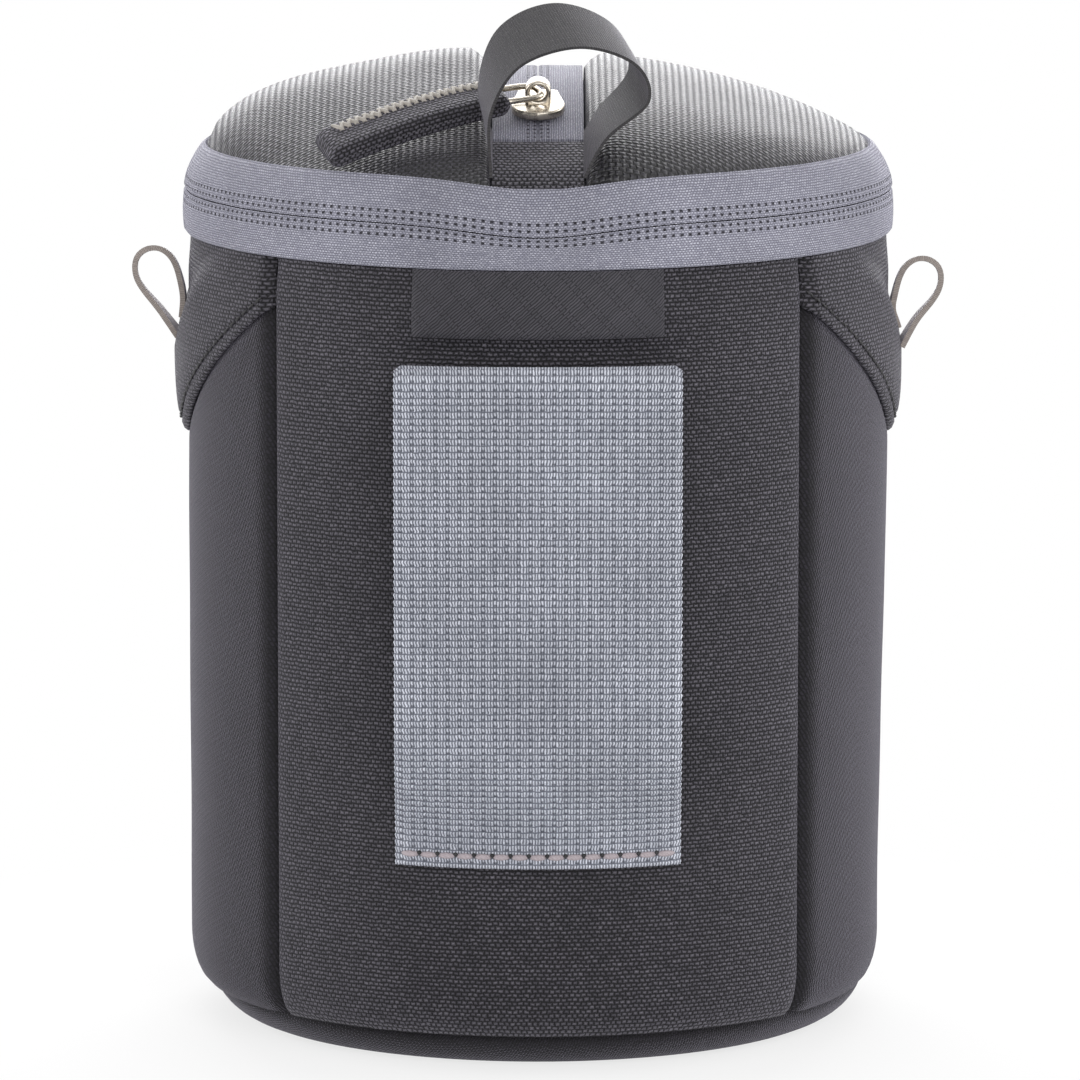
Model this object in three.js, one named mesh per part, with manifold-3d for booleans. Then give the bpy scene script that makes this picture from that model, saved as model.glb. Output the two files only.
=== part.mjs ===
// Padded round lens pouch: a foam-lined fabric tube with a sewn base, a domed lid on a fabric hinge,
// a zip round the rim, a second short zip along the top of the lid, a webbing belt loop and ribbon loops.
// Millimetres, +Z up. The origin is the middle of the underside. The belt loop faces -Y, the hinge +Y.
import * as THREE from "three";
import { mergeVertices } from "three/addons/utils/BufferGeometryUtils.js";
import Module from "manifold-3d";

// Cloth, foam and the gap left between pieces that are sewn together
const clearance = 0.3;
const fabric = 1.2;
const seamAllowance = 0.7;
const liningCloth = 0.8;
const wallFoam = 6;
const floorFoam = 5.2;
const lidFoam = 4;

// Body: a tube with a rolled hem that meets a shallow dished base
const bodyRadius = 63;
const wallHeight = 142.4;
const hemRise = 15;
const hemTuck = 3.7;
const hemSpan = 9;
const hemShares = [0, 0.12, 0.35, 0.65, 1];
const baseRoll = 8.2;
const baseHeight = 5.7;
const baseFabric = 1.5;
const seamAngle = 48.5;

// Side yokes: V-shaped tongues of nylon with a flared hem
const yokeTipDrop = 39.9;
const yokeShoulderDrop = 10;
const yokeTipRound = 0.06;
const yokeFlareTip = 2.3;
const yokeFlareSeam = 1.6;
const yokeTaper = 6;
const yokeInset = 1.6;
const yokeRunOut = 2;

// Rim zip: two tapes, edge to edge, with a coil behind each
const zipTape = 0.8;
const tapeProud = 0.6;
const tapeWidth = 7.6;
const zipGap = 0.4;
const lapHeight = 4;
const coilWidth = 1.2;
const coilHeight = 1.4;
const hingeHalfAngle = 32;
const stopLength = 1.6;
const stopHeight = 2.2;
const stopThickness = 0.7;

// Lid: a shallow dome with a sunk strip along its top
const lidTapeRise = 8;
const lidTapeLean = 3.5;
const lidTapeCurve = 1.5;
const lidTapeShares = [0, 0.3, 0.6, 1];
const lidRise = 14.4;
const stripHalfWidth = 8;
const stripSink = 1.8;
const frontPatchLength = 15.2;
const rearPatchLength = 13;
const pocketDepth = 3;
const lidPadInset = 2.4;
const bindingWidth = 1.8;
const bindingHeight = 4.4;

// Belt loop: 50 mm webbing that stands off the wall to take a belt
const webbingWidth = 50;
const webbingThickness = 1.5;
const webbingDrop = 16.7;
const webbingLength = 88.7;
const webbingSewn = 4.5;
const webbingLift = 19;
const webbingTurnBack = 6;
const beltGap = 5.2;

// Woven label under the rim
const labelWidth = 44.5;
const labelHeight = 12.1;
const labelThickness = 0.6;

// Ribbon loops: one on each side, one grab loop at the front of the lid
// The outlines are shares of the loop's reach and height
const ribbon = 1.1;
const sideLoopWidth = 10;
const sideLoopDrop = 20.9;
const sideLoopHeight = 16;
const sideLoopReach = 8.4;
const sideLoopOutline = [[0.55, 0.28], [1, 0.68], [0.62, 1], [0.2, 0.78]];
const sideLoopUpperFoot = 0.42;
const grabLoopWidth = 13;
const grabLoopInset = 0.5;
const grabLoopHeight = 25.2;
const grabLoopLeftReach = 10.4;
const grabLoopRightReach = 20;
const grabLoopLeftOutline = [[1, 0.42], [0.55, 0.83]];
const grabLoopRightOutline = [[0.3, 1], [0.85, 0.86], [1, 0.54], [0.62, 0.24]];
const grabLoopSettle = 6;

// Zip sliders and their cloth pulls
const sliderLength = 12;
const sliderNose = 4.7;
const sliderTail = 3.5;
const sliderPlate = 1.5;
const sliderSeat = 0.6;
const lugRadius = 2.3;
const lugRise = 1.9;
const lugDepth = 3.2;
const lugHole = 1.45;
const linkLength = 8.5;
const linkHalfWidth = 3.1;
const linkWire = 0.55;
const linkCorner = 1.9;
const tabWidth = 9.6;
const tabThickness = 4.2;
const tabGrip = 1.9;
const lidTabLength = 34;
const lidTabSkew = 22;
const lidTabBow = 1;
const lidTabRest = 1.3;
const mainTabLength = 22;
const mainTabLean = 0.5;
const lidSliderPark = 11.3;
const mainSliderAngle = 140;

// Fineness of the faceted solids
const ringSteps = 48;
const cornerSteps = 4;
const domeSteps = 10;
const archSteps = 12;
const wireSides = 6;
const wireSteps = 24;
const roundSteps = 6;
const loopSteps = 24;
const patchSteps = 4;

// Places worked out from the sizes above
const panelSeam = (clearance / bodyRadius / 2) * THREE.MathUtils.RAD2DEG;
const wallInside = bodyRadius - fabric;
const foamOutside = wallInside - clearance;
const foamInside = foamOutside - wallFoam;
const liningOutside = foamInside - clearance;
const liningInside = liningOutside - liningCloth;
const lapRadius = bodyRadius + tapeProud - zipTape - clearance;
const tapeRadius = bodyRadius + tapeProud;
const zipHeight = wallHeight + tapeWidth;
const zipEndAngle = 180 - hingeHalfAngle;
const baseFlatRadius = bodyRadius - hemTuck - clearance * 2 - baseRoll;
const baseCorner = (baseHeight ** 2 + baseRoll ** 2) / (2 * baseHeight);
const floorBottom = baseFabric + clearance;
const floorTop = floorBottom + floorFoam;
const collarTop = zipHeight - coilHeight - zipGap - clearance - liningCloth - clearance;
const yokeTip = wallHeight - yokeTipDrop;
const yokeShoulder = wallHeight - yokeShoulderDrop;
const lidEdge = zipHeight + lidTapeRise + clearance;
const lidRadius = tapeRadius - lidTapeLean - zipTape - clearance;
const lidPadRadius = lidRadius - lidPadInset;
const lidArc = (lidRadius ** 2 + lidRise ** 2) / (2 * lidRise);
const lidArcHeight = lidEdge + lidRise - lidArc;
const stripRadius = lidArc - stripSink;
const stripFront = frontPatchLength - lidRadius;
const stripRear = lidRadius - rearPatchLength;
const lidSliderFront = -stripFront - lidSliderPark;
const grabLoopFront = grabLoopInset - lidRadius;
const lugHeight = sliderSeat + sliderPlate + lugRise;
const sideLoopFoot = wallHeight - sideLoopDrop;
const webbingTop = wallHeight - webbingDrop;
const webbingBottom = webbingTop - webbingLength;
const webbingMid = bodyRadius + beltGap + webbingThickness / 2;
const webbingWall = bodyRadius + clearance + webbingThickness / 2;

const wasm = await Module();
wasm.setup();

const nylon = { color: 0x232327, roughness: 0.85 };
const twill = { color: 0x2a2a2e, roughness: 0.8 };
const tape = { color: 0x7d7d87, roughness: 0.9 };
const foam = { color: 0x3a3a3d, roughness: 1 };
const lining = { color: 0x55565c, roughness: 0.9 };
const webbing = { color: 0x9a9aa2, roughness: 0.85 };
const ribbonCloth = { color: 0x4c4c52, roughness: 0.8 };
const steel = { color: 0xb9b2a6, roughness: 0.3, metalness: 1 };
const coilPlastic = { color: 0x333338, roughness: 0.5 };

const pouch = new THREE.Group();

function addPiece(name, finish, geometry, parent = pouch) {
  const mesh = new THREE.Mesh(geometry, new THREE.MeshStandardMaterial(finish));
  mesh.name = name;
  parent.add(mesh);
  return mesh;
}

function signedVolume(positions, index) {
  const corner = [new THREE.Vector3(), new THREE.Vector3(), new THREE.Vector3()];
  let volume = 0;
  for (let i = 0; i < index.length; i += 3) {
    corner.forEach((point, k) => point.fromArray(positions, index[i + k] * 3));
    volume += corner[0].dot(corner[1].cross(corner[2])) / 6;
  }
  return volume;
}

// Merges shared corners, drops faces that have shrunk to a line, and turns the faces outwards
function closed(geometry) {
  const bare = new THREE.BufferGeometry();
  bare.setAttribute("position", geometry.getAttribute("position"));
  bare.setIndex(geometry.index);
  const merged = mergeVertices(bare, 1e-4);
  const corners = merged.index.array;
  const index = [];
  for (let i = 0; i < corners.length; i += 3) {
    const [a, b, c] = corners.slice(i, i + 3);
    if (a !== b && b !== c && c !== a) index.push(a, b, c);
  }
  if (signedVolume(merged.attributes.position.array, index) < 0) index.reverse();
  merged.setIndex(index);
  return merged;
}

function toSolid(geometry) {
  const mesh = closed(geometry);
  const vertProperties = mesh.attributes.position.array;
  const triVerts = new Uint32Array(mesh.index.array);
  return new wasm.Manifold(new wasm.Mesh({ numProp: 3, vertProperties, triVerts }));
}

function fromSolid(solid) {
  const mesh = solid.getMesh();
  const geometry = new THREE.BufferGeometry();
  geometry.setAttribute("position", new THREE.BufferAttribute(mesh.vertProperties, 3));
  geometry.setIndex(new THREE.BufferAttribute(mesh.triVerts, 1));
  return geometry;
}

const join = (first, second) => fromSolid(toSolid(first).add(toSolid(second)));
const cut = (whole, tool) => fromSolid(toSolid(whole).subtract(toSolid(tool)));

// A layer of cloth or foam: a grid of points on its face and on its back, joined round the rim
function layer(columns, rows, face, back) {
  const positions = [];
  for (const skin of [face, back]) {
    for (let i = 0; i <= columns; i++) {
      for (let j = 0; j <= rows; j++) positions.push(...skin(i / columns, j / rows));
    }
  }
  const at = (side, i, j) => (side * (columns + 1) + i) * (rows + 1) + j;
  const quads = [];
  for (let i = 0; i < columns; i++) {
    for (let j = 0; j < rows; j++) {
      quads.push([at(0, i, j), at(0, i + 1, j), at(0, i + 1, j + 1), at(0, i, j + 1)]);
      quads.push([at(1, i, j), at(1, i, j + 1), at(1, i + 1, j + 1), at(1, i + 1, j)]);
    }
    quads.push([at(0, i, 0), at(1, i, 0), at(1, i + 1, 0), at(0, i + 1, 0)]);
    quads.push([at(0, i + 1, rows), at(1, i + 1, rows), at(1, i, rows), at(0, i, rows)]);
  }
  for (let j = 0; j < rows; j++) {
    quads.push([at(0, 0, j + 1), at(1, 0, j + 1), at(1, 0, j), at(0, 0, j)]);
    quads.push([at(0, columns, j), at(1, columns, j), at(1, columns, j + 1), at(0, columns, j + 1)]);
  }
  const geometry = new THREE.BufferGeometry();
  geometry.setAttribute("position", new THREE.Float32BufferAttribute(positions, 3));
  geometry.setIndex(quads.flatMap(([a, b, c, d]) => [a, b, c, a, c, d]));
  return closed(geometry);
}

// A point on the tube, by its angle from the front towards +X
function around(angle, radius, height) {
  const turn = THREE.MathUtils.degToRad(angle);
  return [radius * Math.sin(turn), -radius * Math.cos(turn), height];
}

// A panel of the tube between two angles, with its rows of heights and its radius set by functions
function wallPanel(from, to, heights, radius, thickness) {
  const columns = 2 * Math.ceil((((to - from) / 360) * ringSteps) / 2);
  const rows = heights(from).length - 1;
  const skin = (inset) => (u, v) => {
    const angle = THREE.MathUtils.lerp(from, to, u);
    const height = heights(angle)[Math.round(v * rows)];
    return around(angle, radius(height, angle) - inset(height), height);
  };
  return layer(columns, rows, skin(() => 0), skin(thickness));
}

// A turned ring or disc from (radius, height) pairs
function turned(profile) {
  const points = profile.map(([radius, height]) => new THREE.Vector2(radius, height));
  const turn = new THREE.LatheGeometry(points, ringSteps);
  return closed(turn.rotateX(Math.PI / 2));
}

// A round of the base's rolled edge, set in from the outer face
function baseEdge(inset, top) {
  const radius = baseCorner - inset;
  const start = -Math.PI / 2;
  const finish = Math.asin((top - baseCorner) / radius);
  return Array.from({ length: cornerSteps + 1 }, (_, i) => {
    const angle = THREE.MathUtils.lerp(start, finish, i / cornerSteps);
    return [baseFlatRadius + radius * Math.cos(angle), baseCorner + radius * Math.sin(angle)];
  });
}

// The wall's outer radius: rolled in at the hem, full in the middle, tucked in under the zip tape
function wallRadius(height) {
  if (height < hemRise) {
    const drop = (hemRise - height) / hemSpan;
    return bodyRadius - hemTuck * (1 - Math.sqrt(Math.max(0, 1 - drop ** 2)));
  }
  const tuck = THREE.MathUtils.smoothstep(height, wallHeight - lapHeight * 2, wallHeight - clearance);
  return THREE.MathUtils.lerp(bodyRadius, lapRadius, tuck);
}

const wallFoot = baseHeight + clearance * 2;
const hemHeights = hemShares.map((t) => THREE.MathUtils.lerp(wallFoot, hemRise, t));
const lapHeights = [2, 1, 0].map((t) => wallHeight - clearance - t * lapHeight);
const lapTop = wallHeight + lapHeight;
const panelThickness = (height) =>
  THREE.MathUtils.lerp(fabric, seamAllowance, THREE.MathUtils.smoothstep(
    height, wallHeight - lapHeight * 2, wallHeight - clearance));

// Height of a yoke's hem, lowest at the side and rising to the seams
function yokeHem(angle) {
  const side = Math.abs(Math.abs(angle) - 90) / (90 - seamAngle);
  const rise = Math.hypot(side, yokeTipRound) - yokeTipRound;
  const full = Math.hypot(1, yokeTipRound) - yokeTipRound;
  return THREE.MathUtils.lerp(yokeTip, yokeShoulder, rise / full);
}

function yokeRadius(height, angle) {
  const side = Math.abs(Math.abs(angle) - 90) / (90 - seamAngle);
  const flare = THREE.MathUtils.lerp(yokeFlareTip, yokeFlareSeam, side);
  const hem = yokeHem(angle);
  const rest = Math.max(0, 1 - (height - hem) / (wallHeight - yokeRunOut - hem));
  return wallRadius(height) + flare * rest;
}

// A side panel sinks by the yoke's thickness where the yoke lies over it
function sidePanelRadius(height, angle) {
  const hem = yokeHem(angle);
  const under = THREE.MathUtils.smoothstep(height, hem - yokeTaper, hem + yokeRunOut);
  const tucked = bodyRadius + (wallRadius(height) - bodyRadius) * (1 - under);
  return tucked - yokeInset * under;
}

function addBase() {
  const outer = baseEdge(0, baseHeight);
  const inner = baseEdge(baseFabric, baseHeight).reverse();
  addPiece("base_panel", twill, turned([[0, 0], ...outer, ...inner, [0, baseFabric]]));
  const pad = baseEdge(baseFabric + clearance, floorTop);
  addPiece("base_foam", foam, turned([[0, floorBottom], ...pad, [0, floorTop]]));
  const floor = floorTop + clearance;
  const reach = liningInside - clearance;
  const disc = [[0, floor], [reach, floor], [reach, floor + liningCloth], [0, floor + liningCloth]];
  addPiece("floor_lining", lining, turned(disc));
}

function addWall() {
  const plain = () => [...hemHeights, ...lapHeights, lapTop];
  const limit = seamAngle - panelSeam;
  addPiece("front_panel", nylon, wallPanel(-limit, limit, plain, wallRadius, panelThickness));
  addPiece("rear_panel", nylon, wallPanel(180 - limit, 180 + limit, plain, wallRadius, panelThickness));
  const sideRows = (angle) => {
    const hem = yokeHem(angle);
    return [...hemHeights, hem - yokeTaper, hem - yokeTaper / 2, hem, hem + yokeRunOut, lapTop];
  };
  const yokeRows = (angle) => {
    const hem = yokeHem(angle);
    const [start, ...lap] = lapHeights;
    return [hem, Math.max(hem + clearance, start), ...lap.map((z) => Math.max(hem + fabric, z)), lapTop];
  };
  const from = seamAngle + panelSeam;
  const to = 180 - from;
  for (const [side, sign] of [["left", -1], ["right", 1]]) {
    const [first, last] = sign > 0 ? [from, to] : [-to, -from];
    const panel = wallPanel(first, last, sideRows, sidePanelRadius, () => fabric);
    addPiece("side_panel_" + side, twill, panel);
    const yoke = wallPanel(first, last, yokeRows, yokeRadius, panelThickness);
    addPiece("side_yoke_" + side, nylon, yoke);
  }
}

// Foam tube and lining, thinner at the top where the yokes and the zip tape need room
function addPadding() {
  const narrow = foamOutside - yokeInset;
  const foot = floorTop + clearance;
  const hemSide = hemHeights
    .filter((height) => height > foot)
    .map((height) => [wallRadius(height) - fabric - clearance, height]);
  const profile = [
    [foamInside, foot],
    [wallRadius(foot) - fabric - clearance, foot],
    ...hemSide,
    [foamOutside, yokeTip - yokeTaper],
    [narrow, yokeTip],
    [narrow, collarTop],
    [foamInside, collarTop],
    [foamInside, foot],
  ];
  addPiece("wall_foam", foam, turned(profile));
  addPiece("wall_lining", lining, turned(ringProfile(liningInside, liningOutside, foot, collarTop)));
  const cap = collarTop + clearance;
  const binding = ringProfile(liningInside, narrow + clearance, cap, cap + liningCloth);
  addPiece("rim_binding", tape, turned(binding));
}

function ringProfile(inside, outside, bottom, top) {
  return [[inside, bottom], [outside, bottom], [outside, top], [inside, top], [inside, bottom]];
}

// The zip band's outer radius: upright below the zip, leaning in above it to the edge of the lid
function bandRadius(height) {
  const lean = Math.max(0, height - zipHeight) / lidTapeRise;
  return tapeRadius - lidTapeLean * lean ** lidTapeCurve;
}

const lowerBand = () => [wallHeight, zipHeight - zipGap / 2];
const upperBand = () =>
  lidTapeShares.map((t) => THREE.MathUtils.lerp(zipHeight + zipGap / 2, zipHeight + lidTapeRise, t));
const bandThickness = () => zipTape;

function addRimZip() {
  const end = zipEndAngle - panelSeam;
  const coilRadius = () => tapeRadius - zipTape - clearance;
  const coil = () => coilWidth;
  const lowerCoil = () => [zipHeight - zipGap / 2 - coilHeight, zipHeight - zipGap / 2];
  const upperCoil = () => [zipHeight + zipGap / 2, zipHeight + zipGap / 2 + coilHeight];
  addPiece("zip_tape_lower", tape, wallPanel(-end, end, lowerBand, bandRadius, bandThickness));
  addPiece("zip_tape_upper", tape, wallPanel(-end, end, upperBand, bandRadius, bandThickness));
  addPiece("zip_coil_lower", coilPlastic, wallPanel(-end, end, lowerCoil, coilRadius, coil));
  const leaning = (height) => bandRadius(height) - zipTape - clearance;
  addPiece("zip_coil_upper", coilPlastic, wallPanel(-end, end, upperCoil, leaning, coil));
  const stopTop = zipHeight - zipGap;
  const stopRows = () => [stopTop - stopHeight, stopTop];
  const stopRadius = () => tapeRadius + clearance + stopThickness;
  const stopSpan = (stopLength / tapeRadius) * THREE.MathUtils.RAD2DEG;
  for (const [side, sign] of [["left", -1], ["right", 1]]) {
    const edge = sign * (end - stopSpan);
    const [first, last] = [edge, edge + sign * stopSpan].sort((a, b) => a - b);
    addPiece("zip_stop_" + side, steel, wallPanel(first, last, stopRows, stopRadius, () => stopThickness));
  }
}

// The back of the band is plain cloth, drawn as two pieces that meet at the fold
function addHinge() {
  const from = zipEndAngle + panelSeam;
  const to = 360 - from;
  addPiece("hinge_panel_lower", nylon, wallPanel(from, to, lowerBand, bandRadius, bandThickness));
  addPiece("hinge_panel_upper", nylon, wallPanel(from, to, upperBand, bandRadius, bandThickness));
}

// Height of the lid's outer face
const lidSkin = (x, y) => lidEdge + lidRise * (1 - (x ** 2 + y ** 2) / lidRadius ** 2);

// Half of the lid, from the strip's edge out to the round rim
function lidHalf(sign) {
  const inner = stripHalfWidth + clearance;
  const reach = Math.acos(inner / lidRadius);
  const place = (u, v) => {
    const angle = THREE.MathUtils.lerp(-reach, reach, v);
    const x = THREE.MathUtils.lerp(inner, lidRadius * Math.cos(angle), u);
    return [sign * x, lidRadius * Math.sin(angle)];
  };
  const skin = (inset) => (u, v) => {
    const [x, y] = place(u, v);
    return [x, y, lidSkin(x, y) - inset];
  };
  return layer(domeSteps - 2, domeSteps + 4, skin(0), skin(fabric));
}

// A domed disc under the lid's face, from one depth to another
function lidDisc(top, bottom) {
  const skin = (inset) => (u, v) => {
    const [a, b] = [2 * u - 1, 2 * v - 1];
    const x = lidPadRadius * a * Math.sqrt(1 - b ** 2 / 2);
    const y = lidPadRadius * b * Math.sqrt(1 - a ** 2 / 2);
    return [x, y, lidSkin(x, y) - inset];
  };
  return layer(domeSteps, domeSteps, skin(top), skin(bottom));
}

// A strip of the lid's top, between two X and two Y places, following the lid's arch
function lidStrip(xFrom, xTo, yFrom, yTo, radius, thickness) {
  const skin = (inset) => (u, v) => {
    const y = THREE.MathUtils.lerp(yFrom, yTo, u);
    const depth = radius - inset;
    return [THREE.MathUtils.lerp(xFrom, xTo, v), y, lidArcHeight + Math.sqrt(depth ** 2 - y ** 2)];
  };
  return layer(archSteps, 1, skin(0), skin(thickness));
}

function lidPatch(yFrom, rearward) {
  const edge = (x) => rearward * Math.sqrt(lidRadius ** 2 - x ** 2);
  const skin = (inset) => (u, v) => {
    const x = THREE.MathUtils.lerp(-stripHalfWidth, stripHalfWidth, v);
    const y = THREE.MathUtils.lerp(yFrom, edge(x), u);
    return [x, y, lidSkin(x, y) - stripSink / 2 - inset];
  };
  return layer(patchSteps, patchSteps, skin(0), skin(fabric));
}

function addLid() {
  addPiece("lid_panel_left", nylon, lidHalf(-1));
  addPiece("lid_panel_right", nylon, lidHalf(1));
  addPiece("lid_front_patch", nylon, lidPatch(stripFront - clearance, -1));
  addPiece("lid_rear_patch", nylon, lidPatch(stripRear + clearance, 1));
  const half = zipGap / 2;
  const coilRadius = stripRadius - zipTape - clearance;
  for (const [side, sign] of [["left", -1], ["right", 1]]) {
    const [first, last] = [sign * half, sign * stripHalfWidth].sort((a, b) => a - b);
    const tapeStrip = lidStrip(first, last, stripFront, stripRear, stripRadius, zipTape);
    addPiece("lid_zip_tape_" + side, tape, tapeStrip);
    const [near, far] = [sign * half, sign * (half + coilHeight)].sort((a, b) => a - b);
    const coilStrip = lidStrip(near, far, stripFront, stripRear, coilRadius, coilWidth);
    addPiece("lid_zip_coil_" + side, coilPlastic, coilStrip);
  }
  const pocket = fabric + pocketDepth;
  addPiece("lid_pocket_lining", lining, lidDisc(pocket, pocket + liningCloth));
  const pad = pocket + liningCloth + clearance;
  addPiece("lid_foam", foam, lidDisc(pad, pad + lidFoam));
  const inside = pad + lidFoam + clearance;
  addPiece("lid_lining", lining, lidDisc(inside, inside + liningCloth));
  const bindingTop = lidEdge - stripSink / 2 - fabric - clearance;
  const bindingInside = lidPadRadius + clearance;
  const bindingOutside = bindingInside + bindingWidth;
  const bindingFoot = bindingTop - bindingHeight;
  const bound = ringProfile(bindingInside, bindingOutside, bindingFoot, bindingTop);
  addPiece("lid_binding", tape, turned(bound));
}

// A ribbon that follows (across, up) points; place() sets each edge point in space
function ribbonAlong(points, thickness, place, edges) {
  const steps = points.length - 1;
  const skin = (side) => (u, v) => {
    const index = Math.round(u * steps);
    const before = points[Math.max(0, index - 1)];
    const after = points[Math.min(steps, index + 1)];
    const along = after.clone().sub(before).normalize();
    const offset = (side * thickness) / 2;
    const point = points[index];
    return place(point.x - along.y * offset, point.y + along.x * offset, v, u);
  };
  return layer(steps, edges, skin(1), skin(-1));
}

// Side view of the belt loop: sewn flat at its foot, standing off the wall, folded back in at the top
function webbingPath() {
  const fold = (webbingMid - webbingWall) / 2;
  const bend = webbingTop - webbingThickness / 2 - fold;
  const sewnTop = webbingBottom + webbingSewn;
  const straight = sewnTop + webbingLift;
  const path = new THREE.Path();
  path.moveTo(-webbingWall, webbingBottom);
  path.lineTo(-webbingWall, sewnTop);
  const middle = sewnTop + webbingLift / 2;
  path.bezierCurveTo(-webbingWall, middle, -webbingMid, middle, -webbingMid, straight);
  path.lineTo(-webbingMid, bend);
  path.absarc(-webbingWall - fold, bend, fold, Math.PI, 0, true);
  path.lineTo(-webbingWall, bend - webbingTurnBack);
  return path.getPoints(roundSteps);
}

// The sewn ends of the webbing lie round the wall, and the free stretch is flat
function addBeltLoop() {
  const place = (y, z, v) => {
    const x = (v - 0.5) * webbingWidth;
    const follow = THREE.MathUtils.clamp((webbingMid + y) / (webbingMid - webbingWall), 0, 1);
    const sag = bodyRadius - Math.sqrt(bodyRadius ** 2 - x ** 2);
    return [x, y + sag * follow, z];
  };
  addPiece("belt_webbing", webbing, ribbonAlong(webbingPath(), webbingThickness, place, roundSteps));
  const half = (labelWidth / 2 / bodyRadius) * THREE.MathUtils.RAD2DEG;
  const rows = () => [wallHeight - labelHeight, ...lapHeights.slice(0, 2), wallHeight - clearance];
  const radius = (height) => wallRadius(height) + clearance + labelThickness;
  addPiece("front_label", twill, wallPanel(-half, half, rows, radius, () => labelThickness));
}

// Evenly spaced points along a smooth curve through the given ones
function smoothLoop(outline) {
  const curve = new THREE.SplineCurve(outline.map(([x, z]) => new THREE.Vector2(x, z)));
  return curve.getSpacedPoints(loopSteps);
}

// A side loop is a teardrop that leans up and out from the yoke
function addSideLoops() {
  const foot = yokeRadius(sideLoopFoot, 90) + clearance;
  const upperFoot = sideLoopFoot + sideLoopHeight * sideLoopUpperFoot;
  const bow = ([x, z]) => [foot + sideLoopReach * x, sideLoopFoot + sideLoopHeight * z];
  const upperRadius = yokeRadius(upperFoot, 90) + clearance + ribbon / 2;
  const path = smoothLoop([
    [foot + ribbon / 2, sideLoopFoot],
    ...sideLoopOutline.map(bow),
    [upperRadius, upperFoot],
  ]);
  for (const [side, sign] of [["left", -1], ["right", 1]]) {
    const place = (x, z, v) => [sign * x, (v - 0.5) * sideLoopWidth, z];
    addPiece("side_loop_" + side, ribbonCloth, ribbonAlong(path, ribbon, place, 1));
  }
}

// The grab loop rises from the two seams beside the lid's front patch and leans to the right
function addGrabLoop() {
  const foot = stripHalfWidth + clearance / 2;
  const middle = grabLoopFront + grabLoopWidth / 2;
  const ground = lidSkin(foot, middle) + clearance;
  const bow = (reach) => ([x, z]) => [reach * x, ground + grabLoopHeight * z];
  const path = smoothLoop([
    [-foot, ground],
    ...grabLoopLeftOutline.map(bow(-grabLoopLeftReach)),
    ...grabLoopRightOutline.map(bow(grabLoopRightReach)),
    [foot, ground],
  ]);
  const place = (x, z, v, u) => {
    const y = grabLoopFront + v * grabLoopWidth;
    const slope = lidSkin(foot, y) - lidSkin(foot, middle);
    const atFoot = Math.abs(2 * u - 1) ** grabLoopSettle;
    return [x, y, z + slope * atFoot];
  };
  addPiece("grab_loop", ribbonCloth, ribbonAlong(path, ribbon, place, 2));
}

// A zip slider: a shoe-shaped plate with an arched lug, in its own frame with Z off the tape
function sliderBody(lugTurn) {
  const half = sliderLength / 2;
  const shoe = new THREE.Shape();
  shoe.moveTo(-sliderTail, half);
  shoe.lineTo(sliderTail, half);
  shoe.bezierCurveTo(sliderTail, half / 2, sliderNose, half / 2, sliderNose, -half / 4);
  shoe.absellipse(0, -half / 4, sliderNose, (half * 3) / 4, 0, -Math.PI, true);
  shoe.bezierCurveTo(-sliderNose, half / 2, -sliderTail, half / 2, -sliderTail, half);
  const cutOut = { bevelEnabled: false, curveSegments: roundSteps };
  const plate = new THREE.ExtrudeGeometry(shoe, { ...cutOut, depth: sliderPlate });
  plate.translate(0, 0, sliderSeat);
  const sunk = sliderPlate / 2;
  const arch = new THREE.Shape();
  arch.moveTo(-lugRadius, -sunk);
  arch.lineTo(lugRadius, -sunk);
  arch.lineTo(lugRadius, lugRise);
  arch.absarc(0, lugRise, lugRadius, 0, Math.PI, false);
  const eye = new THREE.Path();
  eye.absarc(0, lugRise, lugHole, 0, Math.PI * 2, true);
  arch.holes.push(eye);
  const lug = new THREE.ExtrudeGeometry(arch, { ...cutOut, depth: lugDepth });
  lug.translate(0, 0, -lugDepth / 2);
  lug.rotateX(Math.PI / 2);
  lug.rotateZ(lugTurn);
  lug.translate(0, 0, sliderSeat + sliderPlate);
  return join(plate, lug);
}

// A wire link through the lug's eye: a rounded rectangle lying towards -X, in the slider's frame
function wireLink(wire) {
  const corner = linkCorner;
  const outline = new THREE.Path();
  outline.moveTo(0, -linkHalfWidth + corner);
  outline.lineTo(0, linkHalfWidth - corner);
  outline.absarc(-corner, linkHalfWidth - corner, corner, 0, Math.PI / 2, false);
  outline.lineTo(-linkLength + corner, linkHalfWidth);
  outline.absarc(-linkLength + corner, linkHalfWidth - corner, corner, Math.PI / 2, Math.PI, false);
  outline.lineTo(-linkLength, -linkHalfWidth + corner);
  outline.absarc(-linkLength + corner, -linkHalfWidth + corner, corner, Math.PI, Math.PI * 1.5, false);
  outline.lineTo(-corner, -linkHalfWidth);
  outline.absarc(-corner, -linkHalfWidth + corner, corner, Math.PI * 1.5, Math.PI * 2, false);
  const points = outline.getSpacedPoints(wireSteps);
  const positions = [];
  const index = [];
  for (let i = 0; i < wireSteps; i++) {
    const next = (i + 1) % wireSteps;
    const before = (i + wireSteps - 1) % wireSteps;
    const along = points[next].clone().sub(points[before]).normalize();
    for (let k = 0; k < wireSides; k++) {
      const turn = (k / wireSides) * Math.PI * 2;
      const out = wire * Math.cos(turn);
      const { x, y } = points[i];
      positions.push(x + along.y * out, y - along.x * out, lugHeight + wire * Math.sin(turn));
      const [a, b] = [i * wireSides + k, i * wireSides + ((k + 1) % wireSides)];
      const [c, d] = [next * wireSides + ((k + 1) % wireSides), next * wireSides + k];
      index.push(a, b, c, a, c, d);
    }
  }
  const geometry = new THREE.BufferGeometry();
  geometry.setAttribute("position", new THREE.Float32BufferAttribute(positions, 3));
  geometry.setIndex(index);
  return closed(geometry);
}

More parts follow.
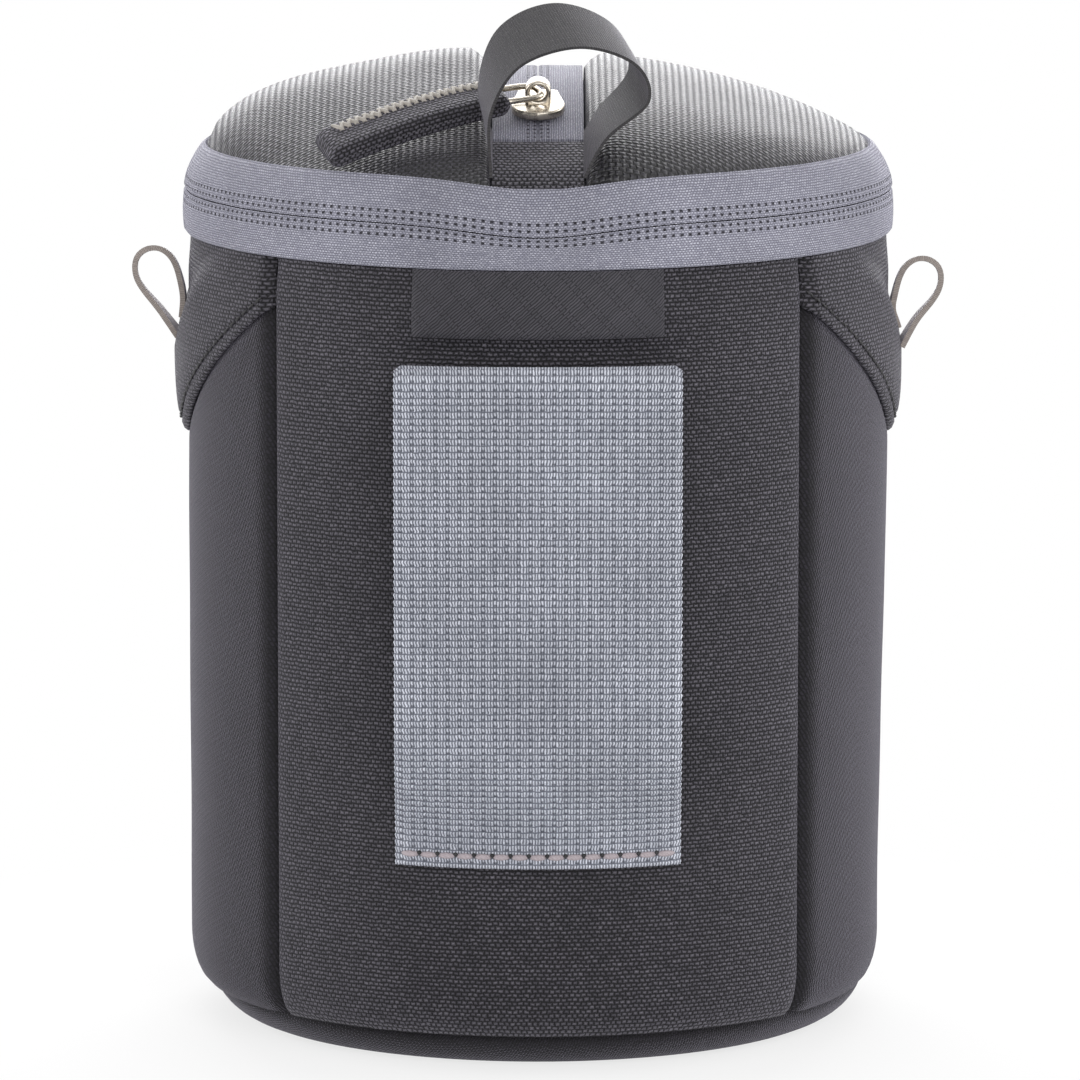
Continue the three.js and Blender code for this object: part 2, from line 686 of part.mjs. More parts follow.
// The lid's slider sits on the arched strip, with its pull laid over the left half of the lid
function addLidSlider() {
  const lean = Math.asin(lidSliderFront / stripRadius);
  const seat = new THREE.Group();
  seat.rotation.x = lean;
  const arm = stripRadius;
  seat.position.set(0, -arm * Math.sin(lean), lidArcHeight + arm * Math.cos(lean));
  seat.updateMatrix();
  pouch.add(seat);
  const skew = THREE.MathUtils.degToRad(lidTabSkew);
  const link = (wire) => wireLink(wire).rotateZ(skew);
  addPiece("lid_slider", steel, sliderBody(0), seat);
  addPiece("lid_pull_link", steel, link(linkWire), seat);

  const root = linkLength - tabGrip;
  const tail = (root + lidTabLength) * Math.cos(skew);
  const rootDepth = stripRadius + lugHeight - tabThickness / 2;
  const tailDepth = lidSkin(tail, 0) - lidArcHeight + lidTabRest;
  const skin = (height) => (u, v) => {
    const across = (v - 0.5) * tabWidth;
    const reach = root + lidTabLength * u;
    const x = across * Math.sin(skew) - reach * Math.cos(skew);
    const forward = reach * Math.sin(skew) + across * Math.cos(skew);
    const bow = lidTabBow * 4 * u * (1 - u);
    const depth = THREE.MathUtils.lerp(rootDepth, tailDepth, u) + bow + height;
    const angle = lean + forward / stripRadius;
    return [x, -depth * Math.sin(angle), lidArcHeight + depth * Math.cos(angle)];
  };
  const channel = link(linkWire + clearance).applyMatrix4(seat.matrix);
  const whole = layer(6, 2, skin(tabThickness), skin(0));
  addPiece("lid_pull_tab", nylon, cut(whole, channel));
}

// The rim zip's slider is parked at the back, with its pull laid along the tape
function addMainSlider() {
  const turn = THREE.MathUtils.degToRad(mainSliderAngle);
  const radial = new THREE.Vector3(Math.sin(turn), -Math.cos(turn), 0);
  const along = new THREE.Vector3(Math.cos(turn), Math.sin(turn), 0);
  const down = new THREE.Vector3(0, 0, -1);
  const seat = new THREE.Group();
  const frame = new THREE.Matrix4().makeBasis(down, along, radial);
  seat.quaternion.setFromRotationMatrix(frame);
  seat.position.copy(radial).multiplyScalar(tapeRadius).setZ(zipHeight);
  seat.updateMatrix();
  pouch.add(seat);
  addPiece("main_slider", steel, sliderBody(Math.PI / 2), seat);
  const link = (wire) => wireLink(wire).rotateZ(Math.PI / 2);
  addPiece("main_pull_link", steel, link(linkWire), seat);

  const eye = tapeRadius + lugHeight;
  const angleOf = (length) => (length / eye) * THREE.MathUtils.RAD2DEG;
  const root = mainSliderAngle - angleOf(linkLength - tabGrip);
  const skin = (height) => (u, v) => {
    const angle = root - angleOf(mainTabLength * u);
    const radius = eye - mainTabLean * u + height;
    return around(angle, radius, zipHeight + (v - 0.5) * tabWidth);
  };
  const channel = link(linkWire + clearance).applyMatrix4(seat.matrix);
  const whole = layer(6, 2, skin(tabThickness / 2), skin(-tabThickness / 2));
  addPiece("main_pull_tab", nylon, cut(whole, channel));
}

addBase();
addWall();
addPadding();
addRimZip();
addHinge();
addLid();
addBeltLoop();
addSideLoops();
addGrabLoop();
addLidSlider();
addMainSlider();

export default pouch;
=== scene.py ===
from math import acos, asin, atan2, copysign, cos, degrees, dist, exp, hypot, pi, radians, sin, sqrt, tau

import bpy
from mathutils import Matrix, Vector, noise


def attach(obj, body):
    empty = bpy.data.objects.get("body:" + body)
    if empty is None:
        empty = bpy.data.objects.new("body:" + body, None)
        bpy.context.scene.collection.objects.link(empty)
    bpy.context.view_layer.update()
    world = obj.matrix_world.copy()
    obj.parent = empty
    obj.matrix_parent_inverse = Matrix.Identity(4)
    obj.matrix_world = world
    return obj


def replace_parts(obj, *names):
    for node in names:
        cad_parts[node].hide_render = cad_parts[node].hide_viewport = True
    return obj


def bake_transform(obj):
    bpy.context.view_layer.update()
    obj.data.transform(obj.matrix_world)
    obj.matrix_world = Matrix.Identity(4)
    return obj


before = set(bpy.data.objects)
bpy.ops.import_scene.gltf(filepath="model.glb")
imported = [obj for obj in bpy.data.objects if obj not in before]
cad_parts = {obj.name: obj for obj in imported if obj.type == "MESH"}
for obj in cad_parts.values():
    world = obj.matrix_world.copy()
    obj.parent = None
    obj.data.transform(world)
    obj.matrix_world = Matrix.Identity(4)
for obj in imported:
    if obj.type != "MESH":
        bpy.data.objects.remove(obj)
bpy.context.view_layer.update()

# Base panel: a round of smooth nylon twill, dished up at its edge to meet the wall.
# It is cut as one disc, and the turned-up edge is sewn inside the wall's hem.


def colour(code):
    """Turns an sRGB hex colour into the linear one that a socket takes."""
    shares = [int(code[i : i + 2], 16) / 255 for i in (1, 3, 5)]
    linear = [c / 12.92 if c <= 0.04045 else ((c + 0.055) / 1.055) ** 2.4 for c in shares]
    return (*linear, 1)


def add_node(owner, kind, settings={}, values={}, links={}):
    """Adds a shader node with its settings, its socket values and its links, each {input: (node, output)}."""
    node = owner.node_tree.nodes.new("ShaderNode" + kind)
    for name, value in settings.items():
        setattr(node, name, value)
    for name, value in values.items():
        node.inputs[name].default_value = value
    for name, (source, output) in links.items():
        owner.node_tree.links.new(source.outputs[output], node.inputs[name])
    return node


def start_material(name):
    material = bpy.data.materials.new(name)
    material.use_nodes = True
    material.node_tree.nodes.clear()
    return material


def weave_cloth(name, yarns, gap, weave, stagger=0.5, turn=0, relief=0.2, sheen=0.3, roughness=0.65, gloss=0.2):
    """Woven cloth on a UV map in millimetres. weave is the float's length, the row's height and the gap.
    The yarns wander by most of a row, and worn patches of about 22 mm run lighter or darker."""
    cloth = start_material(name)
    float_length, row_height, gap_width = weave
    spot = add_node(cloth, "TexCoord")
    drift = add_node(cloth, "TexNoise", {}, {"Scale": 0.9, "Detail": 4}, {"Vector": (spot, "UV")})
    wander = add_node(
        cloth, "VectorMath", {"operation": "MULTIPLY_ADD"},
        {1: (0.9 * row_height, 0.9 * row_height, 0)}, {0: (drift, "Color"), 2: (spot, "UV")},
    )
    turned = add_node(cloth, "Mapping", {}, {"Rotation": (0, 0, radians(turn))}, {"Vector": (wander, 0)})
    floats = add_node(
        cloth, "TexBrick", {"offset": stagger, "name": "floats"},
        {
            "Color1": colour(yarns[0]), "Color2": colour(yarns[1]), "Mortar": colour(gap), "Scale": 1,
            "Mortar Size": gap_width, "Mortar Smooth": 1, "Brick Width": float_length, "Row Height": row_height,
        },
        {"Vector": (turned, 0)},
    )
    wear = add_node(cloth, "TexNoise", {}, {"Scale": 0.045, "Detail": 4}, {"Vector": (spot, "UV")})
    fade = add_node(
        cloth, "MapRange", {},
        {"From Min": 0.3, "From Max": 0.7, "To Min": 0.86, "To Max": 1.12}, {"Value": (wear, 0)},
    )
    tint = add_node(
        cloth, "VectorMath", {"operation": "MULTIPLY", "name": "tint"}, {},
        {0: (floats, "Color"), 1: (fade, 0)},
    )
    bump = add_node(
        cloth, "Bump", {"invert": True, "name": "bump"},
        {"Strength": 0.9, "Distance": relief / 1000}, {"Height": (floats, "Fac")},
    )
    shader = add_node(
        cloth, "BsdfPrincipled", {"name": "shader"},
        {
            "Roughness": roughness, "Specular IOR Level": gloss,
            "Sheen Weight": sheen, "Sheen Roughness": 0.35, "Sheen Tint": colour("#f0eaff"),
        },
        {"Base Color": (tint, 0), "Normal": (bump, 0)},
    )
    add_node(cloth, "OutputMaterial", links={"Surface": (shader, 0)})
    return cloth


def blend_of(low, high, share):
    return low + (high - low) * share


def ease(low, high, value):
    """Rises smoothly from 0 at low to 1 at high, or falls where low is the greater."""
    share = min(1, max(0, (value - low) / (high - low)))
    return share * share * (3 - 2 * share)


def bell(value, middle, spread):
    """1 at the middle, falling away to 0 on both sides."""
    return exp(-(((value - middle) / spread) ** 2))


def around(angle, radius, height):
    """A point on the tube, by its angle from the front towards +X."""
    turn = radians(angle)
    return radius * sin(turn), -radius * cos(turn), height


def start_piece(add, **sizes):
    """Adds a primitive with nothing else selected, to be shaped into a piece."""
    bpy.ops.object.select_all(action="DESELECT")
    add(**sizes)
    return bpy.context.object


def lay_cloth(name, columns, rows, place, flat, thickness=0, offset=-1, welded=False):
    """Shapes a grid: place gives each point in millimetres, flat its spot on the uncut cloth."""
    cloth = start_piece(bpy.ops.mesh.primitive_grid_add, x_subdivisions=columns, y_subdivisions=rows, size=1)
    cloth.name = cloth.data.name = name
    shares = [(vertex.co.x + 0.5, vertex.co.y + 0.5) for vertex in cloth.data.vertices]
    spots = cloth.data.uv_layers.active.data
    for loop in cloth.data.loops:
        spots[loop.index].uv = flat(*shares[loop.vertex_index])
    for vertex, share in zip(cloth.data.vertices, shares):
        vertex.co = Vector(place(*share)) / 1000
    if welded:
        weld(cloth, recalculate=not thickness)
    if thickness:
        thicken(cloth, thickness, offset)
    bpy.ops.object.shade_smooth_by_angle(angle=radians(55))
    return cloth


def weld(piece, recalculate):
    """Merges the points that meet at a seam or a pole, and turns a closed piece's faces outwards."""
    bpy.ops.object.mode_set(mode="EDIT")
    bpy.ops.mesh.select_all(action="SELECT")
    bpy.ops.mesh.remove_doubles(threshold=1e-5)
    bpy.ops.mesh.dissolve_degenerate(threshold=1e-6)
    if recalculate:
        bpy.ops.mesh.select_all(action="SELECT")
        bpy.ops.mesh.normals_make_consistent(inside=False)
    bpy.ops.object.mode_set(mode="OBJECT")


def thicken(piece, thickness, offset=-1):
    wall = piece.modifiers.new("thickness", "SOLIDIFY")
    wall.thickness = thickness / 1000
    wall.offset = offset
    bpy.context.view_layer.objects.active = piece
    bpy.ops.object.modifier_apply(modifier=wall.name)


def fit(piece, material, slot, body, *nodes):
    """Gives a piece its finish and its body, and names the CAD nodes that it stands for."""
    piece.data.materials.clear()
    piece.data.materials.append(material)
    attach(piece, body)
    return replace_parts(piece, *nodes) if nodes else piece


# Smooth nylon twill: fine ribs on the slant that read as a faint grain, with a soft satin edge light.
# The ribs are drawn half a millimetre apart, coarser than the real ones, so that they show.
smooth_twill = weave_cloth(
    "smooth_nylon_twill", ("#25222a", "#17151a"), "#09080b", (0.95, 0.5, 0.2),
    stagger=0.33, turn=68, relief=0.12, sheen=0.32, gloss=0.26,
)

base_flat, base_corner, base_turn = 50.5, 8.75, radians(69.6)
base_tuck, tuck_in, tuck_up = 2.1, 0.62, 0.8
base_reach = base_flat + base_corner * base_turn + base_tuck


def base_profile(reach):
    if reach < base_flat:
        return reach, 0
    turn = min(base_turn, (reach - base_flat) / base_corner)
    tuck = max(0, reach - base_flat - base_corner * base_turn)
    radius = base_flat + base_corner * sin(turn) - tuck_in * tuck
    return radius, base_corner * (1 - cos(turn)) + tuck_up * tuck


base_panel = lay_cloth(
    "base_cloth", 120, 44,
    lambda u, v: around(360 * u, *base_profile(v * base_reach)),
    lambda u, v: around(360 * u, v * base_reach, 0)[:2],
    thickness=1.2, welded=True,
)
fit(base_panel, smooth_twill, "twill", "case", "base_panel")

# Padding of the case: a disc of closed-cell foam on the base and a foam tube in the wall.
# Both are cut from sheet foam; the panel seams pinch the tube where they are drawn tight.


def grained_solid(name, texture, values, output, tones, relief, finish):
    """A solid whose tone and relief follow one fine texture on Object coordinates."""
    solid = start_material(name)
    spot = add_node(solid, "TexCoord")
    grain = add_node(solid, texture, {"name": "grain"}, values, {"Vector": (spot, "Object")})
    tone = add_node(
        solid, "Mix", {"data_type": "RGBA"}, {6: colour(tones[0]), 7: colour(tones[1])}, {0: (grain, output)}
    )
    bump = add_node(solid, "Bump", {}, {"Distance": relief / 1000}, {"Height": (grain, output)})
    shader = add_node(
        solid, "BsdfPrincipled", {"name": "shader"}, finish, {"Base Color": (tone, 2), "Normal": (bump, 0)}
    )
    add_node(solid, "OutputMaterial", links={"Surface": (shader, 0)})
    return solid


# Closed-cell foam: matt, with cells of about half a millimetre that pit its cut faces
foam = grained_solid(
    "closed_cell_foam", "TexVoronoi", {"Scale": 1800}, "Distance", ("#232326", "#36363a"), 0.2,
    {"Roughness": 0.95, "Specular IOR Level": 0.2},
)

seam_angles, seam_spread, pinch_inside = (-131.5, -48.5, 48.5, 131.5), 3.704, 58
turned_girth, turned_depth = 400, 30


def turn_profile(name, profile, pinch=0, columns=96):
    """Turns a list of (radius, height) pairs about Z; pinch draws it in at the wall's seams."""
    rows = len(profile) - 1

    def place(u, v):
        radius, height = profile[round(v * rows)]
        angle = 360 * u - 180
        near = max(bell(angle, seam, seam_spread) for seam in seam_angles)
        return around(angle, radius - pinch * near * (radius > pinch_inside), height)

    return lay_cloth(name, columns, rows, place, lambda u, v: (turned_girth * u, turned_depth * v), welded=True)


base_foam = turn_profile("base_pad", [(0, 1.9), (50, 1.9), (54.5, 2.9), (56.4, 4.8), (56.4, 6.4), (55.8, 7), (0, 7)])
fit(base_foam, foam, "foam", "case", "base_foam")
wall_foam = turn_profile(
    "wall_pad",
    [
        (55.5, 7.4), (57.4, 7.4), (59.6, 11), (60.8, 15), (61.2, 20), (61.2, 95), (59.7, 102.5),
        (59.7, 146.2), (59.2, 146.8), (56, 146.8), (55.5, 146.3), (55.5, 7.4),
    ],
    pinch=1.4,
)
fit(wall_foam, foam, "foam", "case", "wall_foam")

# Lining of the case: a round floor and a sleeve of brushed knit, and a bound rim of tape.
# The sleeve is glued to the foam, and the binding is folded over the top of both and stitched.

# Brushed tricot: short soft nap over a fine knit, so it has no gloss but a pale bloom at its edges
tricot = weave_cloth(
    "brushed_tricot", ("#5e5f64", "#56575d"), "#434449", (0.8, 0.5, 0.12), relief=0.08, sheen=0.4, roughness=0.9
)
floor_radius, floor_height, floor_crown = 54.1, 8.1, 0.35
lining_inside, lining_foot, lining_top, lining_ripple = 54.4, 8.6, 146.6, 0.3
sleeve_width, sleeve_height = 342, 138
floor_lining = lay_cloth(
    "floor_cloth", 96, 24,
    lambda u, v: around(-360 * u, floor_radius * v, floor_height + floor_crown * cos(v * pi / 2)),
    lambda u, v: around(360 * u, floor_radius * v, 0)[:2],
    thickness=0.8, welded=True,
)
fit(floor_lining, tricot, "lining", "case", "floor_lining")
wall_lining = lay_cloth(
    "wall_sleeve", 120, 48,
    lambda u, v: around(
        180 - 360 * u,
        lining_inside - lining_ripple * noise.noise((4 * sin(tau * u), 4 * cos(tau * u), 6 * v)),
        blend_of(lining_foot, lining_top, v),
    ),
    lambda u, v: (sleeve_width * u, sleeve_height * v),
    thickness=0.7, welded=True,
)
fit(wall_lining, tricot, "lining", "case", "wall_lining")

# Zip tape cloth: grey polyester in a close plain weave, with two rows of needle holes beside the zip
zip_cloth = weave_cloth(
    "zip_tape_polyester", ("#c4c4d1", "#a1a1b0"), "#6b6b77", (0.62, 0.42, 0.2), relief=0.15, sheen=0.22
)
tape_nodes = zip_cloth.node_tree.nodes
needle_pitch, needle_row = 1.6, 1.17
tape_spot = add_node(zip_cloth, "TexCoord")
squared = add_node(
    zip_cloth, "Mapping", {}, {"Scale": (needle_row / needle_pitch, 1, 1)}, {"Vector": (tape_spot, "UV")}
)
needle_holes = add_node(
    zip_cloth, "TexBrick", {"offset": 0},
    {
        "Scale": 1, "Mortar Size": 0.5, "Mortar Smooth": 0.45,
        "Brick Width": needle_row, "Row Height": needle_row,
        "Color1": (1, 1, 1, 1), "Color2": (1, 1, 1, 1), "Mortar": (0, 0, 0, 1),
    },
    {"Vector": (squared, 0)},
)
tape_split = add_node(zip_cloth, "SeparateXYZ", links={0: (tape_spot, "UV")})
near_zip = add_node(zip_cloth, "Math", {"operation": "LESS_THAN"}, {1: 2 * needle_row}, {0: (tape_split, "Y")})
pricks = add_node(zip_cloth, "Math", {"operation": "MULTIPLY"}, {}, {0: (needle_holes, "Color"), 1: (near_zip, 0)})
pricked = add_node(
    zip_cloth, "Mix", {"data_type": "RGBA"}, {7: colour("#2b2a31")},
    {0: (pricks, 0), 6: (tape_nodes["tint"], 0)},
)
prick_bump = add_node(
    zip_cloth, "Bump", {"invert": True}, {"Distance": 0.0004},
    {"Height": (pricks, 0), "Normal": (tape_nodes["bump"], 0)},
)


def feed_shader(material, sources):
    """Leads nodes into the shader's sockets, each {input: (node, output)}."""
    for name, (node, output) in sources.items():
        material.node_tree.links.new(node.outputs[output], material.node_tree.nodes["shader"].inputs[name])


feed_shader(zip_cloth, {"Base Color": (pricked, 2), "Normal": (prick_bump, 0)})

binding_margin, binding_width = 3, 13
binding_line = [
    (53.9, 142.6), (53.8, 144), (53.8, 146), (54, 147.2), (54.8, 147.9), (57, 148.05), (59.2, 147.9),
    (60, 147.4), (60.2, 146.6),
]
rim_binding = lay_cloth(
    "rim_binding_tape", 120, len(binding_line) - 1,
    lambda u, v: around(180 - 360 * u, *binding_line[round(v * (len(binding_line) - 1))]),
    lambda u, v: (sleeve_width * u, binding_margin + binding_width * v),
    thickness=0.5, welded=True,
)
fit(rim_binding, zip_cloth, "zip_tape", "case", "rim_binding")

# Front and rear panels: coarse ballistic nylon over the foam, taller than they are wide.
# Each is sewn to its neighbours along upright seams, where the cloth turns in over the padding.

# Ballistic nylon: a basket weave of bright staggered floats over dark gaps, a little glossy at a glance
ballistic_nylon = weave_cloth(
    "ballistic_nylon", ("#69666e", "#504e55"), "#0a090c", (1.0, 0.75, 0.38), relief=0.35, sheen=0.19, roughness=0.55
)
body_radius, seam_angle, wall_foot, lap_top = 63, 48.35, 6.3, 146.4
hem_top, hem_span, hem_tuck, wall_ripple = 15, 9, 3.7, 0.22
lap_foot, lap_full, lap_tuck = 134.4, 142.1, 0.5


def wall_arc(angle):
    return radians(angle) * body_radius


def wall_radius(height):
    """Rolled in at the hem, full in the middle, tucked in under the zip tape."""
    if height < hem_top:
        drop = (hem_top - height) / hem_span
        return body_radius - hem_tuck * (1 - sqrt(max(0, 1 - drop**2)))
    return body_radius - lap_tuck * ease(lap_foot, lap_full, height)


def turn_in(distance, width=4, depth=1.9):
    """How far cloth dips at this distance from a seam."""
    share = max(0, 1 - max(0, distance) / width)
    return depth * (1 - sqrt(1 - share**2))


def slack(x, y, z, size=26):
    """A slow wander from -1 to 1, for cloth that is not drawn tight."""
    return noise.noise((x / size, y / size, z / size))


def wall_panel(name, middle, half, radius, columns, rows, seed=0):
    def place(u, v):
        angle = blend_of(-half, half, u)
        height = blend_of(wall_foot, lap_top, v)
        seam = turn_in(wall_arc(half - abs(angle)))
        ripple = wall_ripple * slack(angle + seed, 3 * seed, height) * ease(0, 20, half - abs(angle))
        return around(middle + angle, radius(height, middle + angle) - seam + ripple, height)

    def flat(u, v):
        return wall_arc(2 * half * u), blend_of(wall_foot, lap_top, v)

    return lay_cloth(name, columns, rows, place, flat, thickness=1)


pucker_depth, pucker_height, pucker_spread = 0.8, 128.2, 1.9


def front_radius(height, angle):
    """The cloth is drawn in between the label and the top of the belt loop."""
    pucker = pucker_depth * bell(height, pucker_height, pucker_spread)
    return wall_radius(height) - pucker * ease(28, 20, abs(angle))


front_panel = wall_panel("front_cloth", 0, seam_angle, front_radius, 96, 112, 7)
rear_panel = wall_panel("rear_cloth", 180, seam_angle, lambda z, a: wall_radius(z), 96, 112, 31)
for panel, node in ((front_panel, "front_panel"), (rear_panel, "rear_panel")):
    fit(panel, ballistic_nylon, "ballistic_nylon", "case", node)

# Side panels: smooth twill from the base up, tucked beneath the yokes at the top.
# They are sewn to the front and rear panels, and the right one is pulled in a little at its foot.
side_half, side_under, side_pull = 41.35, 0.9, 1.3
yoke_half, yoke_tip, yoke_shoulder, tip_round = 41.5, 105.4, 133.1, 0.06


def yoke_hem(angle):
    """Height of a yoke's hem, lowest at the side and rising to the seams."""
    side = abs(abs(angle) - 90) / yoke_half
    rise = (hypot(side, tip_round) - tip_round) / (hypot(1, tip_round) - tip_round)
    return blend_of(yoke_tip, yoke_shoulder, rise)


def side_radius(height, angle):
    under = ease(yoke_hem(angle) - 1.2, yoke_hem(angle) + 1.5, height)
    pulled = side_pull * ease(120, 15, height) * cos(radians(2.1 * (angle - 90))) * (angle > 0)
    return blend_of(wall_radius(height), body_radius - side_under, under) - pulled


sides = ("left", -1), ("right", 1)
for side, sign in sides:
    middle = 90 * sign
    panel = wall_panel("side_cloth_" + side, middle, side_half, side_radius, 72, 112, middle)
    fit(panel, smooth_twill, "twill", "case", "side_panel_" + side)

# Side yokes: V-shaped tongues of ballistic nylon over the tops of the side panels.
# The lower edge is folded under and topstitched with black thread; the cloth swells out above it.

# Bonded nylon thread: round, tight and slightly waxy
black_thread = start_material("bonded_thread_black")
thread_spot = add_node(black_thread, "TexCoord")
thread_ply = add_node(
    black_thread, "TexWave", {"bands_direction": "DIAGONAL"}, {"Scale": 900, "Distortion": 1},
    {"Vector": (thread_spot, "Object")},
)
thread_bump = add_node(black_thread, "Bump", {}, {"Distance": 0.0001}, {"Height": (thread_ply, 0)})
thread_shader = add_node(
    black_thread, "BsdfPrincipled", {"name": "shader"},
    {"Base Color": colour("#212023"), "Roughness": 0.5}, {"Normal": (thread_bump, 0)},
)
add_node(black_thread, "OutputMaterial", links={"Surface": (thread_shader, 0)})


yoke_width, yoke_swell, yoke_ripple = 91, 2.1, 0.2
groove_depth, groove_spread = 0.45, 0.55


def yoke_radius(height, angle):
    """The yoke lies close at its hem, swells out above it at the side, and is drawn in again at the loop."""
    side, above = abs(abs(angle) - 90) / yoke_half, height - yoke_hem(angle)
    hem_stand = blend_of(0.5, 0.9, side) * ease(26, 16, above)
    swell = yoke_swell * (1 - side) * (1 - exp(-max(0, above) / 3.5)) * ease(22.5, 15, above)
    return wall_radius(height) + hem_stand * ease(142, 135, height) + swell


def yoke_section(angle, share):
    """From the turning under the hem, round its fold and up the outer face."""
    hem, turning, fold = yoke_hem(angle), 0.12, 0.24
    if share < turning:
        height = hem + blend_of(hem_turning, hem_round, share / turning)
        return yoke_radius(height, angle) - 2 * hem_round, height
    if share < fold:
        turn = pi * (share - turning) / (fold - turning)
        radius = yoke_radius(hem, angle) - hem_round - hem_round * cos(turn)
        return radius, hem + hem_round - hem_round * sin(turn)
    height = blend_of(hem + hem_round, lap_top, (share - fold) / (1 - fold))
    return yoke_radius(height, angle) - groove_depth * bell(height, hem + stitch_rise, groove_spread), height


def lay_beads(name, bead, count, pitch, place):
    """Repeats one bead in a row, then moves every point to place(along, across, out), in millimetres."""
    row = bead.copy()
    row.data = bead.data.copy()
    row.name = row.data.name = name
    bpy.context.collection.objects.link(row)
    bpy.ops.object.select_all(action="DESELECT")
    row.select_set(True)
    bpy.context.view_layer.objects.active = row
    repeat = row.modifiers.new("row", "ARRAY")
    repeat.count = count
    repeat.use_relative_offset = False
    repeat.use_constant_offset = True
    repeat.constant_offset_displace = (pitch / 1000, 0, 0)
    bpy.ops.object.modifier_apply(modifier=repeat.name)
    for vertex in row.data.vertices:
        vertex.co = Vector(place(*(vertex.co * 1000))) / 1000
    weld(row, recalculate=True)
    bpy.ops.object.shade_smooth()
    return row


def make_stitch(length, width, height):
    """One stitch of thread: a round bead drawn out along X, whose ends dip into the cloth."""
    stitch = start_piece(bpy.ops.mesh.primitive_uv_sphere_add, segments=8, ring_count=6, radius=0.5)
    for vertex in stitch.data.vertices:
        x, y, z = vertex.co
        vertex.co = Vector((x * length, y * width, z * height - 1.2 * height * x * x)) / 1000
    return stitch


stitch_rise, stitch_pitch, stitch_sink = 2.6, 2.4, 0.15
hem_length, hem_round, hem_turning = 108, 0.5, 6
hem_stitch = make_stitch(2.2, 0.55, 0.5)
for side, sign in sides:
    middle = 90 * sign

    def yoke_place(u, v):
        angle = blend_of(-side_half, side_half, u)
        radius, height = yoke_section(middle + angle, v)
        seam = turn_in(wall_arc(side_half - abs(angle)), 3, 1.7)
        return around(middle + angle, radius - seam + yoke_ripple * slack(angle, middle, height, 14), height)

    def hem_place(along, across, out):
        angle = middle + (along / hem_length - 0.5) * 2 * side_half
        height = yoke_hem(angle) + stitch_rise + across
        return around(angle, yoke_radius(height, angle) - stitch_sink + out, height)

    yoke = lay_cloth(
        "yoke_cloth_" + side, 64, 50, yoke_place,
        lambda u, v: (yoke_width * u, yoke_section(middle + blend_of(-side_half, side_half, u), v)[1]),
        thickness=0.4,
    )
    fit(yoke, ballistic_nylon, "ballistic_nylon", "case", "side_yoke_" + side)
    stitches = lay_beads("yoke_topstitch_" + side, hem_stitch, int(hem_length / stitch_pitch), stitch_pitch, hem_place)
    fit(stitches, black_thread, "ballistic_nylon", "case")

# Label: a bare strip of woven damask across the front, just under the zip.
# Its upper edge is caught beneath the zip tape and its ends are folded back and stitched down.

# Damask label: very fine diagonal twill, flat and slightly silky
damask = weave_cloth(
    "damask_label", ("#49474d", "#3f3e43"), "#1f1e22", (4, 0.46, 0.18), stagger=0.25, turn=-42,
    relief=0.08, sheen=0.3, roughness=0.5,
)
label_half, label_bottom, label_top = 20.23, 130.3, 142.1
label_width, label_height, label_stand, label_ripple = 44.5, 11.8, 0.9, 0.12


def label_place(u, v):
    angle, height = blend_of(-label_half, label_half, u), blend_of(label_bottom, label_top, v)
    edge = turn_in(wall_arc(label_half - abs(angle)), 0.9, 0.3)
    edge += turn_in(height - label_bottom, 0.9, 0.3)
    stand = label_stand - edge + label_ripple * slack(angle, 5, height, 9)
    return around(angle, wall_radius(height) + stand, height)


label = lay_cloth("label_cloth", 64, 20, label_place, lambda u, v: (label_width * u, label_height * v), thickness=0.5)
fit(label, damask, "twill", "case", "front_label")

# Belt loop: 50 mm webbing, sewn flat across its foot and folded back in at the top.
# It is woven in heavy ribs with round edges, and one row of grey thread holds the foot.

# Polyester webbing: ribs of doubled grey yarn with narrow furrows between them, with dark spots in the furrows as
# painted shade
webbing_cloth = weave_cloth(
    "polyester_webbing", ("#e0e3ee", "#c4c8d3"), "#686c78", (1.18, 0.515, 0.2), stagger=0, turn=90,
    relief=0.3, sheen=0.2, roughness=0.5,
)
web_nodes = webbing_cloth.node_tree.nodes
pair_pitch, rib_pitch, rib_height = 2.06, 1.18, 0.2
web_spot = add_node(webbing_cloth, "TexCoord")
pair_bands, rib_bands = (
    add_node(
        webbing_cloth, "TexWave", {"bands_direction": direction},
        {"Scale": tau / (20 * pitch), "Phase Offset": phase}, {"Vector": (web_spot, "UV")},
    )
    for direction, pitch, phase in (("X", pair_pitch, 0), ("Y", rib_pitch, pi))
)
# Painted shade: the colour is darkened in spots along the furrows between the ribs, where the yarn pairs meet.
furrow_shade_spots = add_node(webbing_cloth, "Math", {"operation": "MULTIPLY"}, {}, {0: (pair_bands, 1), 1: (rib_bands, 1)})
furrow_shade_depth = add_node(
    webbing_cloth, "MapRange", {}, {"From Min": 0.45, "From Max": 1, "To Max": 0.75}, {"Value": (furrow_shade_spots, 0)}
)
furrow_shaded = add_node(
    webbing_cloth, "Mix", {"data_type": "RGBA"}, {7: colour("#3b3e4a")},
    {0: (furrow_shade_depth, 0), 6: (web_nodes["tint"], 0)},
)
feed_shader(webbing_cloth, {"Base Color": (furrow_shaded, 2)})
web_width, web_thickness = 50, 1.5
web_foot, web_sewn_top, web_straight, web_bend = 37, 41.5, 60.5, 122.5
web_out, web_in, web_fold = 68.95, 64.05, 2.45
web_steps_per_rib, web_edge, web_back, rib_bulge, web_ripple = 4, 0.05, 0.6, 0.2, 0.12


def even_points(points, step):
    """Points a step apart along a line of points."""
    lengths = [0]
    for first, second in zip(points, points[1:]):
        lengths.append(lengths[-1] + dist(first, second))
    count = round(lengths[-1] / step)
    spaced, k = [], 0
    for i in range(count + 1):
        target = lengths[-1] * i / count
        while k < len(points) - 2 and lengths[k + 1] < target:
            k += 1
        share = (target - lengths[k]) / (lengths[k + 1] - lengths[k])
        spaced.append(tuple(blend_of(a, b, share) for a, b in zip(points[k], points[k + 1])))
    return spaced


